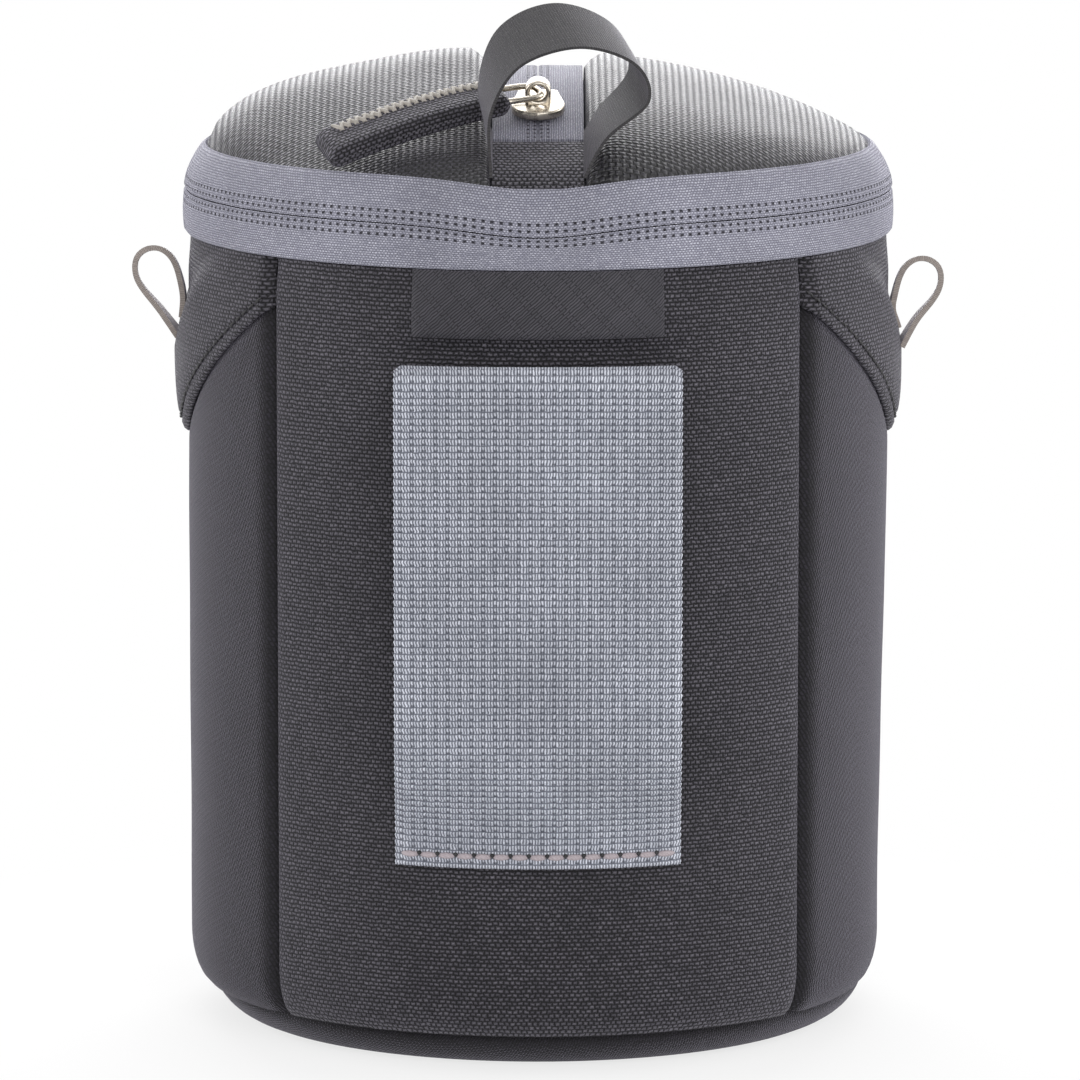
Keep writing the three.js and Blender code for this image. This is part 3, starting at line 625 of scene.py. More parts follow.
def line_normal(points, index):
    (x0, y0), (x1, y1) = points[max(0, index - 1)], points[min(len(points) - 1, index + 1)]
    length = hypot(x1 - x0, y1 - y0)
    return -(y1 - y0) / length, (x1 - x0) / length


web_tuck, web_parts = 6, 24
web_line = [(-web_in, web_foot), (-web_in, web_sewn_top)]
for i in range(1, web_parts + 1):
    share = i / web_parts
    web_line.append((-blend_of(web_in, web_out, ease(0, 1, share)), blend_of(web_sewn_top, web_straight, share)))
for i in range(web_parts + 1):
    turn = pi * i / web_parts
    middle = -(web_out + web_in) / 2
    web_line.append((middle - web_fold * cos(turn), web_bend + web_fold * sin(turn)))
web_line.append((-web_in, web_bend - web_tuck))
web_line = even_points(web_line, rib_pitch / web_steps_per_rib)
web_rows = len(web_line) - 1


def wall_fall(x):
    """How far the round wall falls back at this distance from its middle."""
    return body_radius - sqrt(body_radius**2 - x**2)


def web_place(u, v):
    """u runs across the outer face, round the edge and back across the inner face."""
    index = round(v * web_rows)
    y, z = web_line[index]
    side, up = line_normal(web_line, index)
    outer = u <= 0.5
    share = 2 * u if outer else 2 - 2 * u
    edge = min(1, (1 - abs(2 * share - 1)) / web_edge)
    inside = 0 < index < web_rows
    body = web_thickness / 2 * sqrt(1 - (1 - edge) ** 2) * inside
    rib = -cos(tau * index / web_steps_per_rib) * inside
    out = body + rib_height * rib * edge if outer else -web_back * body
    x = (share - 0.5) * (web_width + rib_bulge * rib)
    follow = min(1, max(0, (web_out + y) / (web_out - web_in)))
    stand = out + web_ripple * slack(18 * share, 2, z, 9)
    return x, y + stand * side + wall_fall(x) * follow, z + out * up


webbing = lay_cloth(
    "belt_webbing_strap", 80, web_rows, web_place,
    lambda u, v: (2 * web_width * u, v * web_rows * rib_pitch / web_steps_per_rib), welded=True,
)
fit(webbing, webbing_cloth, "webbing", "case", "belt_webbing")


def dye_thread(name, code):
    thread = black_thread.copy()
    thread.name = name
    thread.node_tree.nodes["shader"].inputs["Base Color"].default_value = colour(code)
    return thread


# Spun polyester thread: a dull pinkish grey, laid in the same ply as the black one
grey_thread = dye_thread("spun_thread_grey", "#a89da2")
web_stitch_pitch, web_stitch_count, web_stitch_height, web_stitch_stand = 3.2, 15, 39.3, 0.32
web_stitch = make_stitch(3.3, 1.15, 0.8)


def web_stitch_place(along, across, out):
    x = along - web_stitch_pitch * (web_stitch_count - 1) / 2
    face = -web_in - web_thickness / 2 - web_stitch_stand
    return x, face - out + wall_fall(x), web_stitch_height + across


web_stitches = lay_beads("belt_webbing_stitches", web_stitch, web_stitch_count, web_stitch_pitch, web_stitch_place)
fit(web_stitches, grey_thread, "webbing", "case")
web_hole, hole_rise, hole_stand = make_stitch(0.85, 0.8, 0.5), 0.3, 0.12
web_holes = lay_beads(
    "belt_webbing_needle_holes", web_hole, web_stitch_count - 1, web_stitch_pitch,
    lambda along, across, out: web_stitch_place(along + web_stitch_pitch / 2, across + hole_rise, out + hole_stand),
)
fit(web_holes, black_thread, "webbing", "case")

# Side loops: narrow grosgrain ribbon, folded into a teardrop and sewn to each yoke.
# Both ends are sewn to the yoke, one above the other, and the loop stands out from the wall.

# Side ribbon: fine cross ribs in a warm grey, smooth and dull
side_ribbon = weave_cloth(
    "side_loop_grosgrain", ("#9f9690", "#918884"), "#7a736f", (1.5, 0.3, 0.1), turn=90, relief=0.03, sheen=0.2
)


def smooth_line(points, step):
    """A smooth curve through the points, cut into even steps."""
    line = []
    last = len(points) - 1
    for k in range(last):
        p0, p1, p2, p3 = (points[min(last, max(0, k + j))] for j in (-1, 0, 1, 2))
        for i in range(20):
            t = i / 20
            line.append(tuple(
                b + t * (c - a) / 2 + t * t * (a - 2.5 * b + 2 * c - d / 2) + t**3 * (1.5 * (b - c) + (d - a) / 2)
                for a, b, c, d in zip(p0, p1, p2, p3)
            ))
    return even_points(line + [points[-1]], step)


loop_height, loop_reach, loop_width, loop_root = 16, 8.4, 10, 64.3
loop_outline = [
    (0.45, 0.26), (0.8, 0.48), (0.95, 0.62), (0.98, 0.76), (0.9, 0.87), (0.7, 0.94), (0.45, 0.94), (0.24, 0.87),
    (0.1, 0.75), (0, 0.57), (-0.05, 0.4),
]
loop_step, loop_upper_foot, loop_tail, loop_lap = 0.7, 0.2, 0.3, 0.7
loop_sway, loop_dip = 0.35, 1.3
for side, sign, loop_foot in (("left", -1, 123.4), ("right", 1, 121.5)):
    loop_start = yoke_radius(loop_foot, 90)
    loop_end = yoke_radius(loop_foot + loop_upper_foot * loop_height, 90)
    loop_line = smooth_line(
        [(loop_start, loop_foot - loop_tail)]
        + [(loop_root + loop_reach * x, loop_foot + loop_height * z) for x, z in loop_outline]
        + [(loop_end + loop_lap, loop_foot + loop_upper_foot * loop_height)],
        loop_step,
    )
    loop_steps = len(loop_line) - 1

    def loop_place(u, v):
        x, z = loop_line[round(u * loop_steps)]
        lean = sin(pi * u) * (v - 0.5)
        return sign * (x + loop_sway * lean), (v - 0.5) * loop_width, z - loop_dip * lean

    loop = lay_cloth(
        "side_ribbon_" + side, loop_steps, 8, loop_place,
        lambda u, v: (loop_step * loop_steps * u, loop_width * v), thickness=0.95, offset=0,
    )
    fit(loop, side_ribbon, "ribbon", "case", "side_loop_" + side)

# Rim zip: two woven tapes, edge to edge, with a nylon coil sewn behind each.
# The lower tape is sewn over the top of the wall and the upper one round the lid; both sag at the front.

# Nylon coil: moulded plastic, smooth and half glossy, with faint draw lines
coil_nylon = grained_solid(
    "moulded_nylon_coil", "TexNoise", {"Scale": 1500, "Detail": 2}, 0, ("#2f2f34", "#3c3c42"), 0.05,
    {"Roughness": 0.4, "IOR": 1.53},
)

zip_height, tape_radius, zip_end, tape_cloth = 150, 63.6, 147.75, 0.8
tape_foot, tape_rise, tape_lean, lower_width = 142.3, 8, 3.5, 7.5
zip_gap, tape_bow, tape_slack = 0.2, 0.25, 0.15


def front_sag(angle):
    """The zip droops by two millimetres where the lid opens at the front."""
    return 2 * bell(angle, 0, 14)


def band_radius(height):
    """The band of tapes stands upright below the zip and leans in above it."""
    return tape_radius - tape_lean * (max(0, height - zip_height) / tape_rise) ** 1.5


tape_length = radians(2 * zip_end) * tape_radius
for part, body, width, row_shift, seed in (("lower", "case", lower_width, 0, 1), ("upper", "lid", tape_rise, 0.42, 4)):
    lower = part == "lower"

    def from_zip(v):
        return 1 - v if lower else v

    def tape_place(u, v):
        angle = blend_of(-zip_end, zip_end, u)
        height = blend_of(zip_height + zip_gap / 2, zip_height + tape_rise, v)
        drop = front_sag(angle)
        if lower:
            height, drop = blend_of(tape_foot, zip_height - zip_gap / 2 - drop, v), 0
        edge = turn_in(from_zip(v) * width, 0.5, 0.25) + turn_in((1 - from_zip(v)) * width, 1, 0.4)
        radius = band_radius(height) + tape_bow * sin(pi * v) - edge
        return around(angle, radius + tape_slack * slack(angle, seed, height, 8), height - drop)

    tape = lay_cloth(
        "rim_tape_" + part, 260, 14, tape_place,
        lambda u, v: (tape_length * u, width * from_zip(v) - row_shift), thickness=tape_cloth,
    )
    fit(tape, zip_cloth, "zip_tape", body, "zip_tape_" + part)


def make_block(size, rounding):
    """A small block with bevelled edges, to be repeated or set in place."""
    block = start_piece(bpy.ops.mesh.primitive_cube_add, size=1)
    block.data.transform(Matrix.Diagonal((*size, 1000)) * 0.001)
    bpy.ops.object.mode_set(mode="EDIT")
    bpy.ops.mesh.select_all(action="SELECT")
    bpy.ops.mesh.bevel(offset=0.0003, segments=rounding)
    bpy.ops.object.mode_set(mode="OBJECT")
    return block


coil_pitch, coil_radius, coil_height, coil_half_gap = 1.5, 61.9, 1.4, 0.9
coil_tooth = make_block((1.05, coil_height, 1.2), 1)
coil_count = int(radians(2 * zip_end) * coil_radius / coil_pitch)
for part, body, lift in (("lower", "case", -coil_half_gap), ("upper", "lid", coil_half_gap)):

    def coil_place(along, across, out):
        angle = degrees((along - coil_pitch * (coil_count - 1) / 2) / coil_radius)
        return around(angle, coil_radius + out, zip_height + lift + across - front_sag(angle))

    coil = lay_beads("rim_coil_" + part, coil_tooth, coil_count, coil_pitch, coil_place)
    fit(coil, coil_nylon, "zip_coil", body, "zip_coil_" + part)

# Zip stops: two small blocks of cast zinc, clamped over the lower tape at the ends of the rim zip.
# They keep the slider from running off its tapes.

# Nickel plate on cast zinc: barrel-polished, so edges are round and shiny and faces faintly swirled
nickel = grained_solid(
    "nickel_plated_zinc", "TexNoise", {"Scale": 700, "Detail": 5}, 0, ("#a89f92", "#d3ccc0"), 0.03, {"Metallic": 1}
)
nickel_gloss = add_node(
    nickel, "MapRange", {}, {"To Min": 0.16, "To Max": 0.38}, {"Value": (nickel.node_tree.nodes["grain"], 0)}
)
feed_shader(nickel, {"Roughness": (nickel_gloss, 0)})
stop_inset, stop_height, stop_stand = 0.75, 148.5, 0.6
zip_stop = make_block((1.6, 2.2, 0.8), 3)
for side, sign in sides:
    stop_angle = sign * (zip_end - stop_inset)
    stop = lay_beads(
        "rim_zip_stop_" + side, zip_stop, 1, 1,
        lambda x, y, z: around(stop_angle + degrees(x / tape_radius), tape_radius + stop_stand + z, stop_height + y),
    )
    fit(stop, nickel, "plated_steel", "case", "zip_stop_" + side)
for pattern in (zip_stop, hem_stitch, web_stitch, web_hole):
    bpy.data.objects.remove(pattern)

# Hinge: one strip of ballistic nylon at the back, in line with the two zip tapes.
# It is sewn to the wall below and to the lid above, and the real strip folds between them when the lid opens; here it
# is drawn as one fixed piece.
hinge_half, hinge_width, hinge_height, hinge_crease, hinge_ripple = 32.6, 72.4, 15.7, 0.5, 0.2


def hinge_place(u, v):
    angle, height = 180 + blend_of(-hinge_half, hinge_half, u), tape_foot + hinge_height * v
    crease = hinge_crease * bell(height, zip_height, 1.2)
    edge = turn_in((1 - v) * hinge_height, 1, 0.4) + turn_in(v * hinge_height, 1, 0.4)
    ripple = hinge_ripple * slack(angle, 9, height, 9)
    return around(angle, band_radius(height) - crease - edge + ripple, height)


hinge = lay_cloth("hinge_cloth", 64, 36, hinge_place, lambda u, v: (hinge_width * u, hinge_height * v), thickness=0.8)
hinge.data.materials.append(ballistic_nylon)
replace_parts(hinge, "hinge_panel_lower", "hinge_panel_upper")
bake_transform(hinge)

# Lid panels: two half-rounds of nylon that swell over the lid's foam, the left one most of all midway.
# Each is sewn in under the rim tape and rolled down to the short zip along the lid's middle.

# Lid nylon: the same yarn with its floats in line, so that a low view shows ribs from front to back.
# The crowns of the ribs are polished and catch the light from behind, and their colour is painted lighter on the
# crowns and darker in the valleys as painted highlight and shade.
lid_nylon = weave_cloth(
    "ballistic_nylon_lid", ("#39383e", "#262529"), "#060507", (1.2, 0.7, 0.32), relief=0.2, sheen=0.15, gloss=0.45,
)
lid_nodes, lid_rib_pitch = lid_nylon.node_tree.nodes, 1.2
lid_spot = add_node(lid_nylon, "TexCoord")
lid_ribs = add_node(
    lid_nylon, "TexWave", {"bands_direction": "X"}, {"Scale": tau / (20 * lid_rib_pitch), "Distortion": 0.4},
    {"Vector": (lid_spot, "UV")},
)
# Painted highlight and shade: the colour is raised on the rib crowns and lowered in the valleys between them.
rib_painted_shading = add_node(lid_nylon, "MapRange", {}, {"To Min": 0.6, "To Max": 1.25}, {"Value": (lid_ribs, 1)})
ribbed_painted_shading = add_node(
    lid_nylon, "VectorMath", {"operation": "MULTIPLY"}, {}, {0: (lid_nodes["tint"], 0), 1: (rib_painted_shading, 0)}
)
rib_bump = add_node(
    lid_nylon, "Bump", {}, {"Distance": 0.00009},
    {"Height": (lid_ribs, 1), "Normal": (lid_nodes["bump"], 0)},
)
rib_gloss = add_node(lid_nylon, "MapRange", {}, {"To Min": 0.6, "To Max": 0.34}, {"Value": (lid_ribs, 1)})
feed_shader(lid_nylon, {"Base Color": (ribbed_painted_shading, 0), "Normal": (rib_bump, 0), "Roughness": (rib_gloss, 0)})
lid_edge, lid_rise, lid_radius, lid_seam, strip_edge = 158.3, 14.4, 59, 60.7, 8.3


def lid_skin(x, y):
    """Height of the plain dome, with the droop at its front edge."""
    reach = hypot(x, y) / lid_radius
    sag = front_sag(degrees(atan2(x, -y))) * min(1, reach) ** 4
    return lid_edge + lid_rise * (1 - reach**2) - sag


right_swell, right_brow, left_shoulder, left_slope = 1.7, 1.4, 1.4, 0.12


def lid_fullness(x, y):
    """The right half swells evenly; the left is fullest midway and low where the pull tab lies at either end."""
    reach = hypot(x, y)
    bow = sqrt(max(0, 1 - (reach / lid_radius) ** 8)) * ease(strip_edge, strip_edge + 4, abs(x))
    if x > 0:
        brow = right_brow * ease(-18, -44, y) * sqrt(max(0, 1 - (reach / lid_seam) ** 16))
        return right_swell * bow + brow * ease(strip_edge, strip_edge + 6, x)
    shoulder = left_shoulder * bell(x, -14, 13) * ease(-20, -4, y) * ease(22, 8, y)
    return bow * (shoulder - left_slope * x * ease(-44, -8, y) * ease(21, 3, y))


def puff(panel, sewn, limit):
    """Blows cloth up between its sewn points as foam behind it does, and caps how far it moves."""
    start = [vertex.co.copy() for vertex in panel.data.vertices]
    panel.vertex_groups.new(name="sewn").add(sewn, 1, "REPLACE")
    cloth = panel.modifiers.new("puff", "CLOTH")
    cloth.settings.vertex_group_mass = "sewn"
    cloth.settings.quality = 6
    cloth.settings.tension_stiffness = cloth.settings.compression_stiffness = 20
    cloth.settings.bending_stiffness = 2
    cloth.settings.use_pressure = True
    cloth.settings.uniform_pressure_force = 4
    cloth.settings.effector_weights.gravity = 0
    cloth.point_cache.frame_start, cloth.point_cache.frame_end = 1, 20
    for step in range(1, 21):
        bpy.context.scene.frame_set(step)
    bpy.ops.object.modifier_apply(modifier=cloth.name)
    bpy.context.scene.frame_set(1)
    for vertex, was in zip(panel.data.vertices, start):
        moved = vertex.co - was
        if moved.length > limit / 1000:
            vertex.co = was + moved.normalized() * limit / 1000


lid_hollow, lid_swell, sewn_inside, sewn_outside = 0.6, 0.6, 9.5, 57.8
lid_reach = acos(strip_edge / lid_seam)
for side, sign in sides:

    def lid_plan(u, v):
        angle = blend_of(-lid_reach, lid_reach, v)
        share = u if sign > 0 else 1 - u
        return sign * blend_of(strip_edge, lid_seam * cos(angle), share), lid_seam * sin(angle)

    def lid_place(u, v):
        x, y = lid_plan(u, v)
        from_rim, from_strip = lid_seam - hypot(x, y), abs(x) - strip_edge
        front = ease(-10, -44, y)
        rim = turn_in(from_rim, 4.2 + 6 * front, 2.6 + 1.2 * front)
        roll = turn_in(from_strip, 4.5, 1.9)
        hollow = lid_hollow * ease(0, 5, min(from_rim, from_strip))
        return x, y, lid_skin(x, y) + lid_fullness(x, y) - max(rim, roll) - hollow

    panel = lay_cloth("lid_cloth_" + side, 56, 96, lid_place, lid_plan)
    weld(panel, recalculate=False)
    sewn = [
        vertex.index for vertex in panel.data.vertices
        if abs(vertex.co.x) * 1000 < sewn_inside or vertex.co.xy.length * 1000 > sewn_outside
    ]
    puff(panel, sewn, lid_swell)
    thicken(panel, 1)
    bpy.ops.object.shade_smooth_by_angle(angle=radians(55))
    fit(panel, lid_nylon, "ballistic_nylon", "lid", "lid_panel_" + side)

# Patches: two small squares of nylon that cover the ends of the lid's short zip.
# Each is caught in the rim seam, and its inner edge is folded under across the tape.
strip_half, strip_front, strip_rear = 8, -43.8, 46
patch_gap, patch_depth, patch_ripple = 0.3, 0.9, 0.15
for name, inner, sign in (("front", strip_front - patch_gap, -1), ("rear", strip_rear + patch_gap, 1)):

    def patch_place(u, v):
        x = blend_of(-strip_half, strip_half, u)
        rim = sign * sqrt(lid_seam**2 - x**2)
        y = blend_of(*((rim, inner) if sign < 0 else (inner, rim)), v)
        fold = turn_in(abs(y - inner), 1.2, 0.8) + turn_in(abs(y - rim), 9, 3)
        return x, y, lid_skin(x, y) - patch_depth - fold + patch_ripple * slack(x, y, 3, 6)

    patch = lay_cloth(
        f"lid_{name}_patch_cloth", 20, 20, patch_place,
        lambda u, v: (2 * strip_half * u, patch_place(u, v)[1]), thickness=1,
    )
    fit(patch, ballistic_nylon, "ballistic_nylon", "lid", f"lid_{name}_patch")

# Lid zip: two short tapes along the sunk strip on top of the lid, with a coil behind each.
# They are sewn to the lid panels' rolled edges and end beneath the patches.

# The strip follows an arc from front to back, about a middle that lies this high in the pouch
lid_arc_height, strip_radius = 44.632, 126.268
strip_gap, strip_coil_depth, strip_ripple = 0.06, 1.7, 0.15
strip_start = asin(strip_front / strip_radius)
strip_turn = asin(strip_rear / strip_radius) - strip_start
for side, sign in sides:

    def strip_place(u, v):
        x = blend_of(-strip_half, -strip_gap, u) if sign < 0 else blend_of(strip_gap, strip_half, u)
        turn = strip_start + strip_turn * v
        out = strip_radius - turn_in(abs(x) - strip_gap, 0.5, 0.2) + strip_ripple * slack(x, 60 * v, 2, 7)
        return x, out * sin(turn), lid_arc_height + out * cos(turn)

    strip = lay_cloth(
        "lid_tape_" + side, 16, 80, strip_place,
        lambda u, v: (strip_radius * strip_turn * v, abs(strip_place(u, v)[0])), thickness=0.8,
    )
    fit(strip, zip_cloth, "zip_tape", "lid", "lid_zip_tape_" + side)

lid_coil_radius = strip_radius - strip_coil_depth
lid_coil_count = int(lid_coil_radius * strip_turn / coil_pitch)
for side, sign in sides:

    def lid_coil_place(along, across, out):
        turn = strip_start + (along + coil_pitch / 2) / lid_coil_radius
        depth = lid_coil_radius + out
        return coil_half_gap * sign + across, depth * sin(turn), lid_arc_height + depth * cos(turn)

    lid_coil = lay_beads("lid_coil_" + side, coil_tooth, lid_coil_count, coil_pitch, lid_coil_place)
    fit(lid_coil, coil_nylon, "zip_coil", "lid", "lid_zip_coil_" + side)
bpy.data.objects.remove(coil_tooth)

# Inside of the lid: a pocket lining under the short zip, a disc of foam and a brushed lining.
# All three are cut round, domed with the lid and held at their edge by a ring of binding tape.
pad_radius = 56.6


def lid_disc(name, depth, thickness, facing=1, crown=0.0):
    """A domed round of cloth that far below the lid's face; facing -1 is seen from below."""

    def place(u, v):
        x, y, _ = around(-facing * 360 * u, pad_radius * v, 0)
        return x, y, lid_edge + lid_rise * (1 - (pad_radius * v / lid_radius) ** 2) - depth - crown * (1 - v**6)

    return lay_cloth(
        name, 96, 28, place, lambda u, v: around(360 * u, pad_radius * v, 0)[:2], thickness=thickness, welded=True
    )


pocket_lining = lid_disc("lid_pocket_cloth", 4.2, 0.8)
lid_foam = lid_disc("lid_pad", 5.3, 4)
lid_lining = lid_disc("lid_inner_cloth", 10.2, 0.7, facing=-1, crown=0.2)
fit(lid_foam, foam, "foam", "lid", "lid_foam")
for piece, node in ((pocket_lining, "lid_pocket_lining"), (lid_lining, "lid_lining")):
    fit(piece, tricot, "lining", "lid", node)
lid_binding_line = [
    (57, 155.9), (56.85, 155.2), (56.85, 152.4), (57.1, 151.7), (57.8, 151.5), (58.5, 151.7), (58.75, 152.4),
    (58.75, 155.2), (58.6, 155.9), (57, 155.9),
]
lid_binding = turn_profile("lid_binding_tape", lid_binding_line)
fit(lid_binding, zip_cloth, "zip_tape", "lid", "lid_binding")

# Grab loop: a band of dark grosgrain that stands up from the seams beside the front patch.
# Both ends are caught in those seams, and the loop leans over to the right with a slight twist.

# Grosgrain: fine cross ribs half a millimetre apart, dull on the face
grosgrain = weave_cloth(
    "grab_loop_grosgrain", ("#3a393a", "#333134"), "#242324", (3, 0.45, 0.12), turn=90, relief=0.06, sheen=0.2,
    roughness=0.6, gloss=0.27,
)
grab_foot, grab_front, grab_width, grab_rise = 8.15, -58.5, 13, 22.2
grab_middle, grab_step, grab_stand = -52, 0.8, 0.3
grab_ground = lid_edge + lid_rise * (1 - (grab_foot**2 + grab_middle**2) / lid_radius**2) + grab_stand
grab_left = [(-9.2, 0.42), (-4.9, 0.83)]
grab_right = [(5, 1), (14.6, 0.86), (17.6, 0.54), (11.4, 0.24)]
grab_shear, grab_tilt = 4.6, 6.3
grab_line = smooth_line(
    [(-grab_foot, grab_ground)] + [(x, grab_ground + grab_rise * share) for x, share in grab_left + grab_right]
    + [(grab_foot, grab_ground)],
    grab_step,
)
grab_steps = len(grab_line) - 1


def grab_place(u, v):
    x, z = grab_line[round(u * grab_steps)]
    y = grab_front + v * grab_width
    foot = abs(2 * u - 1) ** 6
    twist = (0.5 - v) * sin(pi * u)
    slope = lid_skin(grab_foot, y) - lid_skin(grab_foot, grab_middle)
    return x + grab_shear * twist, y, z + slope * foot - grab_tilt * twist


grab_loop = lay_cloth(
    "grab_ribbon", grab_steps, 10, grab_place, lambda u, v: (grab_step * grab_steps * u, grab_width * v),
    thickness=0.55, offset=0,
)
fit(grab_loop, grosgrain, "ribbon", "lid", "grab_loop")

# Zip sliders: a shoe-shaped plate with a barrel lug standing on it, cast in one.
# One runs along the lid's short zip and the other round the rim; each carries a wire link.
slider_half, slider_nose, slider_tail, nose_start, nose_length = 6, 4.7, 3.5, -1.5, 4.5
plate_bottom, plate_top, plate_squareness = 0.6, 2.1, 2.5
lug_middle, lug_radius, lug_depth, lug_hole, lug_foot = 4.0, 2.3, 3.2, 1.4, 2.6
slider_lean = 14.916
lid_seat = Matrix.Translation((
    0, -strip_radius * sin(radians(slider_lean)),
    lid_arc_height + strip_radius * cos(radians(slider_lean)),
)) @ Matrix.Rotation(radians(slider_lean), 4, "X")
rim_park = 140
rim_turn = radians(rim_park)
rim_seat = Matrix((
    (0, cos(rim_turn), sin(rim_turn), tape_radius * sin(rim_turn)),
    (0, sin(rim_turn), -cos(rim_turn), -tape_radius * cos(rim_turn)),
    (-1, 0, 0, zip_height),
    (0, 0, 0, 1),
))


def signed_power(value, power):
    return copysign(abs(value) ** power, value)


def cast_slider(name, seat, lug_turn):
    def half_width(y):
        if y < nose_start:
            return slider_nose * sqrt(max(0, 1 - ((y - nose_start) / nose_length) ** 2))
        return blend_of(slider_nose, slider_tail, ease(nose_start, slider_half, y))

    def lug_place(u, v):
        turn, ring = tau * u, tau * v
        out = lug_radius
        if sin(turn) < 0:
            out = min(lug_radius / max(0.01, abs(cos(turn))), lug_foot / max(0.01, abs(sin(turn))))
        middle, half = (out + lug_hole) / 2, (out - lug_hole) / 2
        radius = middle + half * signed_power(cos(ring), 0.6)
        side = lug_depth / 2 * signed_power(sin(ring), 0.5)
        return radius * cos(turn), side, lug_middle + radius * sin(turn)

    plate = start_piece(bpy.ops.mesh.primitive_circle_add, vertices=64, radius=1, fill_type="NGON")
    plate.name = plate.data.name = name
    for vertex in plate.data.vertices:
        y = slider_half * vertex.co.y
        across = min(1, max(-1, plate_squareness * vertex.co.x))
        vertex.co = (half_width(y) * across / 1000, y / 1000, plate_bottom / 1000)
    bpy.ops.object.mode_set(mode="EDIT")
    bpy.ops.mesh.select_all(action="SELECT")
    bpy.ops.mesh.extrude_region_move(TRANSFORM_OT_translate={"value": (0, 0, (plate_top - plate_bottom) / 1000)})
    bpy.ops.mesh.select_all(action="SELECT")
    bpy.ops.mesh.normals_make_consistent(inside=False)
    bpy.ops.object.mode_set(mode="OBJECT")
    soften = plate.modifiers.new("soften", "BEVEL")
    soften.width, soften.segments, soften.limit_method = 0.0005, 3, "ANGLE"
    bpy.ops.object.modifier_apply(modifier=soften.name)
    bpy.ops.object.shade_smooth_by_angle(angle=radians(40))
    lug = lay_cloth(name + "_lug", 48, 20, lug_place, lambda u, v: (u, v), welded=True)
    lug.data.transform(Matrix.Rotation(lug_turn, 4, "Z"))
    plate.select_set(True)
    bpy.context.view_layer.objects.active = plate
    bpy.ops.object.join()
    local = Matrix.Diagonal((1000, 1000, 1000, 1))
    plate.data.transform(Matrix.Diagonal((0.001, 0.001, 0.001, 1)) @ seat @ local)
    return plate


for name, seat, lug_turn, body in (
    ("lid_zip_slider", lid_seat, 0, "lid_slider"),
    ("rim_zip_slider", rim_seat, pi / 2, "main_slider"),
):
    fit(cast_slider(name, seat, lug_turn), nickel, "plated_steel", body, body)

# Wire links: round wire bent to a long loop, closed through the slider's lug.
# The far end of each loop lies in the fold of a cloth pull tab.
link_length, link_half, link_wire = 8.5, 3.1, 0.55
lid_skew = radians(22)


def bend_link(name, seat, turn):
    def middle(share):
        t = tau * share
        x = link_length / 2 * (signed_power(cos(t), 0.55) - 1)
        return Vector((x, link_half * signed_power(sin(t), 0.55), lug_middle))

    def place(u, v):
        along = (middle(u + 0.002) - middle(u - 0.002)).normalized()
        side = along.cross(Vector((0, 0, 1)))
        ring = tau * v
        point = middle(u) + link_wire * (cos(ring) * side + Vector((0, 0, sin(ring))))
        return seat @ Matrix.Rotation(turn, 4, "Z") @ point

    return lay_cloth(name, 96, 12, place, lambda u, v: (20 * u, 3.4 * v), welded=True)


for name, seat, turn, body in (
    ("lid_pull_wire", lid_seat, lid_skew, "lid_pull"),
    ("rim_pull_wire", rim_seat, pi / 2, "main_pull"),
):
    fit(bend_link(name, seat, turn), nickel, "plated_steel", body, body + "_link")

# Pull tabs: strips of ballistic nylon folded over the wire links and padded by their own turnings.
# The raw edges meet along the far side, where pale overlock thread binds them in a zigzag.

# Overlock thread: undyed off-white in the same ply
white_thread = dye_thread("overlock_thread_white", "#a8a29b")
tab_width, tab_thickness, tab_root, tab_end, tab_nip = 9.6, 4.2, 6.6, 2.2, 0.75
lid_tab_length, rim_tab_length, rim_tab_dip = 34, 22, 0.5
lid_tab_top, lid_tab_tail, lid_tab_bow = 128.168, 123.506, 4


def lid_tab_point(along, across, height):
    share = along / lid_tab_length
    reach = tab_root + along
    x = across * sin(lid_skew) - reach * cos(lid_skew)
    forward = reach * sin(lid_skew) + across * cos(lid_skew)
    depth = blend_of(lid_tab_top, lid_tab_tail, share) + lid_tab_bow * share * (1 - share) + height
    angle = radians(slider_lean) + forward / strip_radius
    return x, -depth * sin(angle), lid_arc_height + depth * cos(angle)


def rim_tab_point(along, across, height):
    eye = tape_radius + lug_middle
    angle = rim_park - degrees((tab_root + along) / eye)
    radius = eye - rim_tab_dip * along / rim_tab_length + height - tab_thickness / 2
    return around(angle, radius, zip_height + across)


def fold_tab(name, length, point):
    """A flat tube of cloth with soft edges and closed ends."""
    turns = [tau * i / 400 for i in range(401)]
    girth_step = 0.66
    ring = even_points(
        [(tab_width / 2 * signed_power(cos(t), 0.3), tab_thickness / 2 * signed_power(sin(t), 0.55)) for t in turns],
        girth_step,
    )
    rows = len(ring) - 1

    def place(u, v):
        along = length * u
        across, rise = ring[round(v * rows)]
        close = sqrt(1 - max(0, 1 - min(along, length - along) / tab_end) ** 2)
        return point(along, across * blend_of(tab_nip, 1, close), tab_thickness / 2 + rise * close)

    return lay_cloth(name, 60, rows, place, lambda u, v: (length * u, girth_step * rows * v), welded=True)


zigzag_pitch, zigzag_start, zigzag_short, zigzag_inset = 1.4, 3, 5, 2.9
zigzag_slant, zigzag_size = radians(62), (0.0032, 0.0008, 0.0009)
zigzag_wander, zigzag_stand = 0.5, 0.05


def make_zigzag():
    """One pair of slanting overlock stitches."""
    halves = []
    for slant, shift in ((1, 0), (-1, zigzag_pitch / 2)):
        half = start_piece(bpy.ops.mesh.primitive_uv_sphere_add, segments=8, ring_count=6, radius=0.5)
        half.data.transform(
            Matrix.Translation((shift / 1000, 0, 0)) @ Matrix.Rotation(slant * zigzag_slant, 4, "Z")
            @ Matrix.Diagonal((*zigzag_size, 1))
        )
        halves.append(half)
    for half in halves:
        half.select_set(True)
    bpy.ops.object.join()
    return bpy.context.object


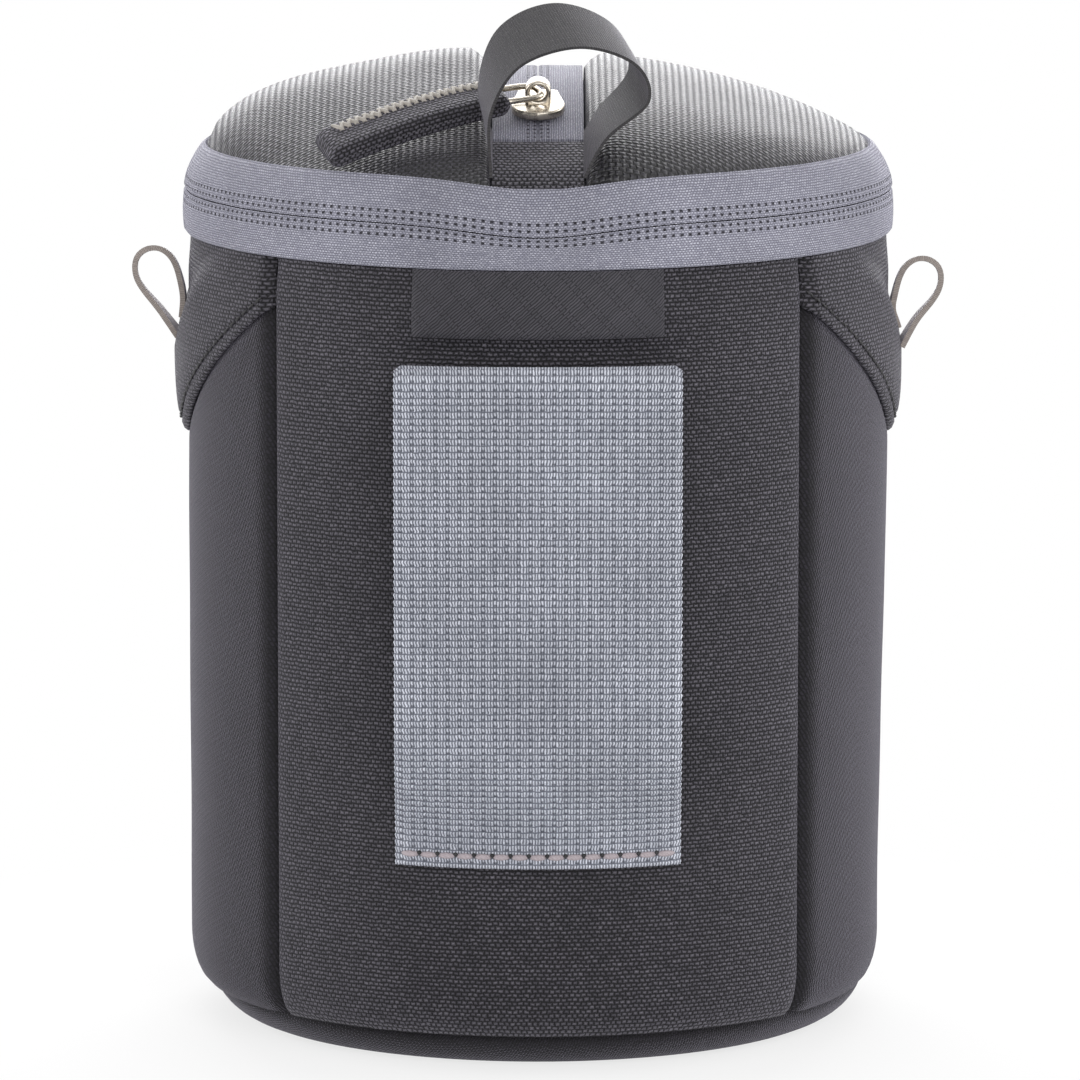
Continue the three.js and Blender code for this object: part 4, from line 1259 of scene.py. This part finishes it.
zigzag = make_zigzag()
for name, length, point, body, edge in (
    ("lid", lid_tab_length, lid_tab_point, "lid_pull", -1),
    ("rim", rim_tab_length, rim_tab_point, "main_pull", 1),
):
    tab = fold_tab(name + "_pull_cloth", length, point)
    fit(tab, ballistic_nylon, "ballistic_nylon", body, body + "_tab")

    def overlock_place(along, across, out):
        across += edge * (tab_width / 2 - zigzag_inset) + zigzag_wander * slack(along, 2, 1, 1.3)
        return point(along + zigzag_start, across, tab_thickness + zigzag_stand + out)

    zigzag_count = int((length - zigzag_short) / zigzag_pitch)
    overlock = lay_beads(name + "_pull_overlock", zigzag, zigzag_count, zigzag_pitch, overlock_place)
    fit(overlock, white_thread, "ballistic_nylon", body)
bpy.data.objects.remove(zigzag)

# Studio: a pale floor under soft light from above and behind, from both sides and from the front.
# The camera stands low in front of the pouch at the photograph's angle.
floor = start_piece(bpy.ops.mesh.primitive_plane_add, size=8)
floor.name = "studio_floor"
floor.data.transform(Matrix.Translation((0, 0, -0.0002)))


def seen_share(owner):
    """1 for what the camera sees, straight or by way of metal and glass, and 0 for light that falls on the pouch."""
    path = add_node(owner, "LightPath")
    seen = path, "Is Camera Ray"
    for ray in ("Is Glossy Ray", "Is Transmission Ray"):
        seen = add_node(owner, "Math", {"operation": "MAXIMUM"}, {}, {0: seen, 1: (path, ray)}), 0
    return seen


# White paper: matt where light falls on it, and pure white to the camera except in the pouch's shadow
paper = start_material("white_paper_floor")
paper_spot = add_node(paper, "TexCoord")
paper_reach = add_node(paper, "VectorMath", {"operation": "LENGTH"}, {}, {0: (paper_spot, "Object")})
paper_fade = add_node(
    paper, "MapRange", {}, {"From Min": 0.07, "From Max": 0.16, "To Min": 0.75, "To Max": 1},
    {"Value": (paper_reach, 1)},
)
paper_share = add_node(paper, "Math", {"operation": "MULTIPLY"}, {}, {0: seen_share(paper), 1: (paper_fade, 0)})
paper_matt = add_node(paper, "BsdfDiffuse", {}, {"Color": colour("#f4f4f4")})
paper_glow = add_node(paper, "Emission", {}, {"Color": (1, 1, 1, 1), "Strength": 1})
paper_mix = add_node(paper, "MixShader", links={0: (paper_share, 0), 1: (paper_matt, 0), 2: (paper_glow, 0)})
add_node(paper, "OutputMaterial", links={"Surface": (paper_mix, 0)})
floor.data.materials.append(paper)

world = bpy.data.worlds.new("studio_white")
bpy.context.scene.world = world
world.use_nodes = True
world.node_tree.nodes.clear()
world_level = add_node(world, "MapRange", {}, {"To Min": 0.53, "To Max": 1}, {"Value": seen_share(world)})
world_glow = add_node(world, "Background", {}, {"Color": (1, 1, 1, 1)}, {"Strength": (world_level, 0)})
add_node(world, "OutputWorld", links={"Surface": (world_glow, 0)})

lamp_target = Vector((0, 0, 0.09))
for name, place, size, power in (
    ("softbox_behind", (0, 1.15, 0.7), 1.2, 20),
    ("softbox_left", (-1.2, 0.25, 0.5), 0.8, 5.6),
    ("softbox_right", (1.2, 0.25, 0.5), 0.8, 6.4),
    ("softbox_front", (0.2, -1.6, 0.7), 1.2, 15),
):
    bpy.ops.object.light_add(type="AREA", location=place)
    lamp = bpy.context.object
    lamp.name = name
    lamp.data.size, lamp.data.energy = size, power
    lamp.rotation_euler = (lamp_target - Vector(place)).to_track_quat("-Z", "Y").to_euler()

bpy.ops.object.camera_add(location=(0, -1.6297, 0.338), rotation=(radians(81), 0, 0))
camera = bpy.context.object
camera.data.sensor_width, camera.data.lens = 36, 303.9
camera.data.shift_x, camera.data.shift_y = 0.00185, 0.0278
bpy.context.scene.camera = camera
bpy.context.scene.view_settings.view_transform = "Standard"
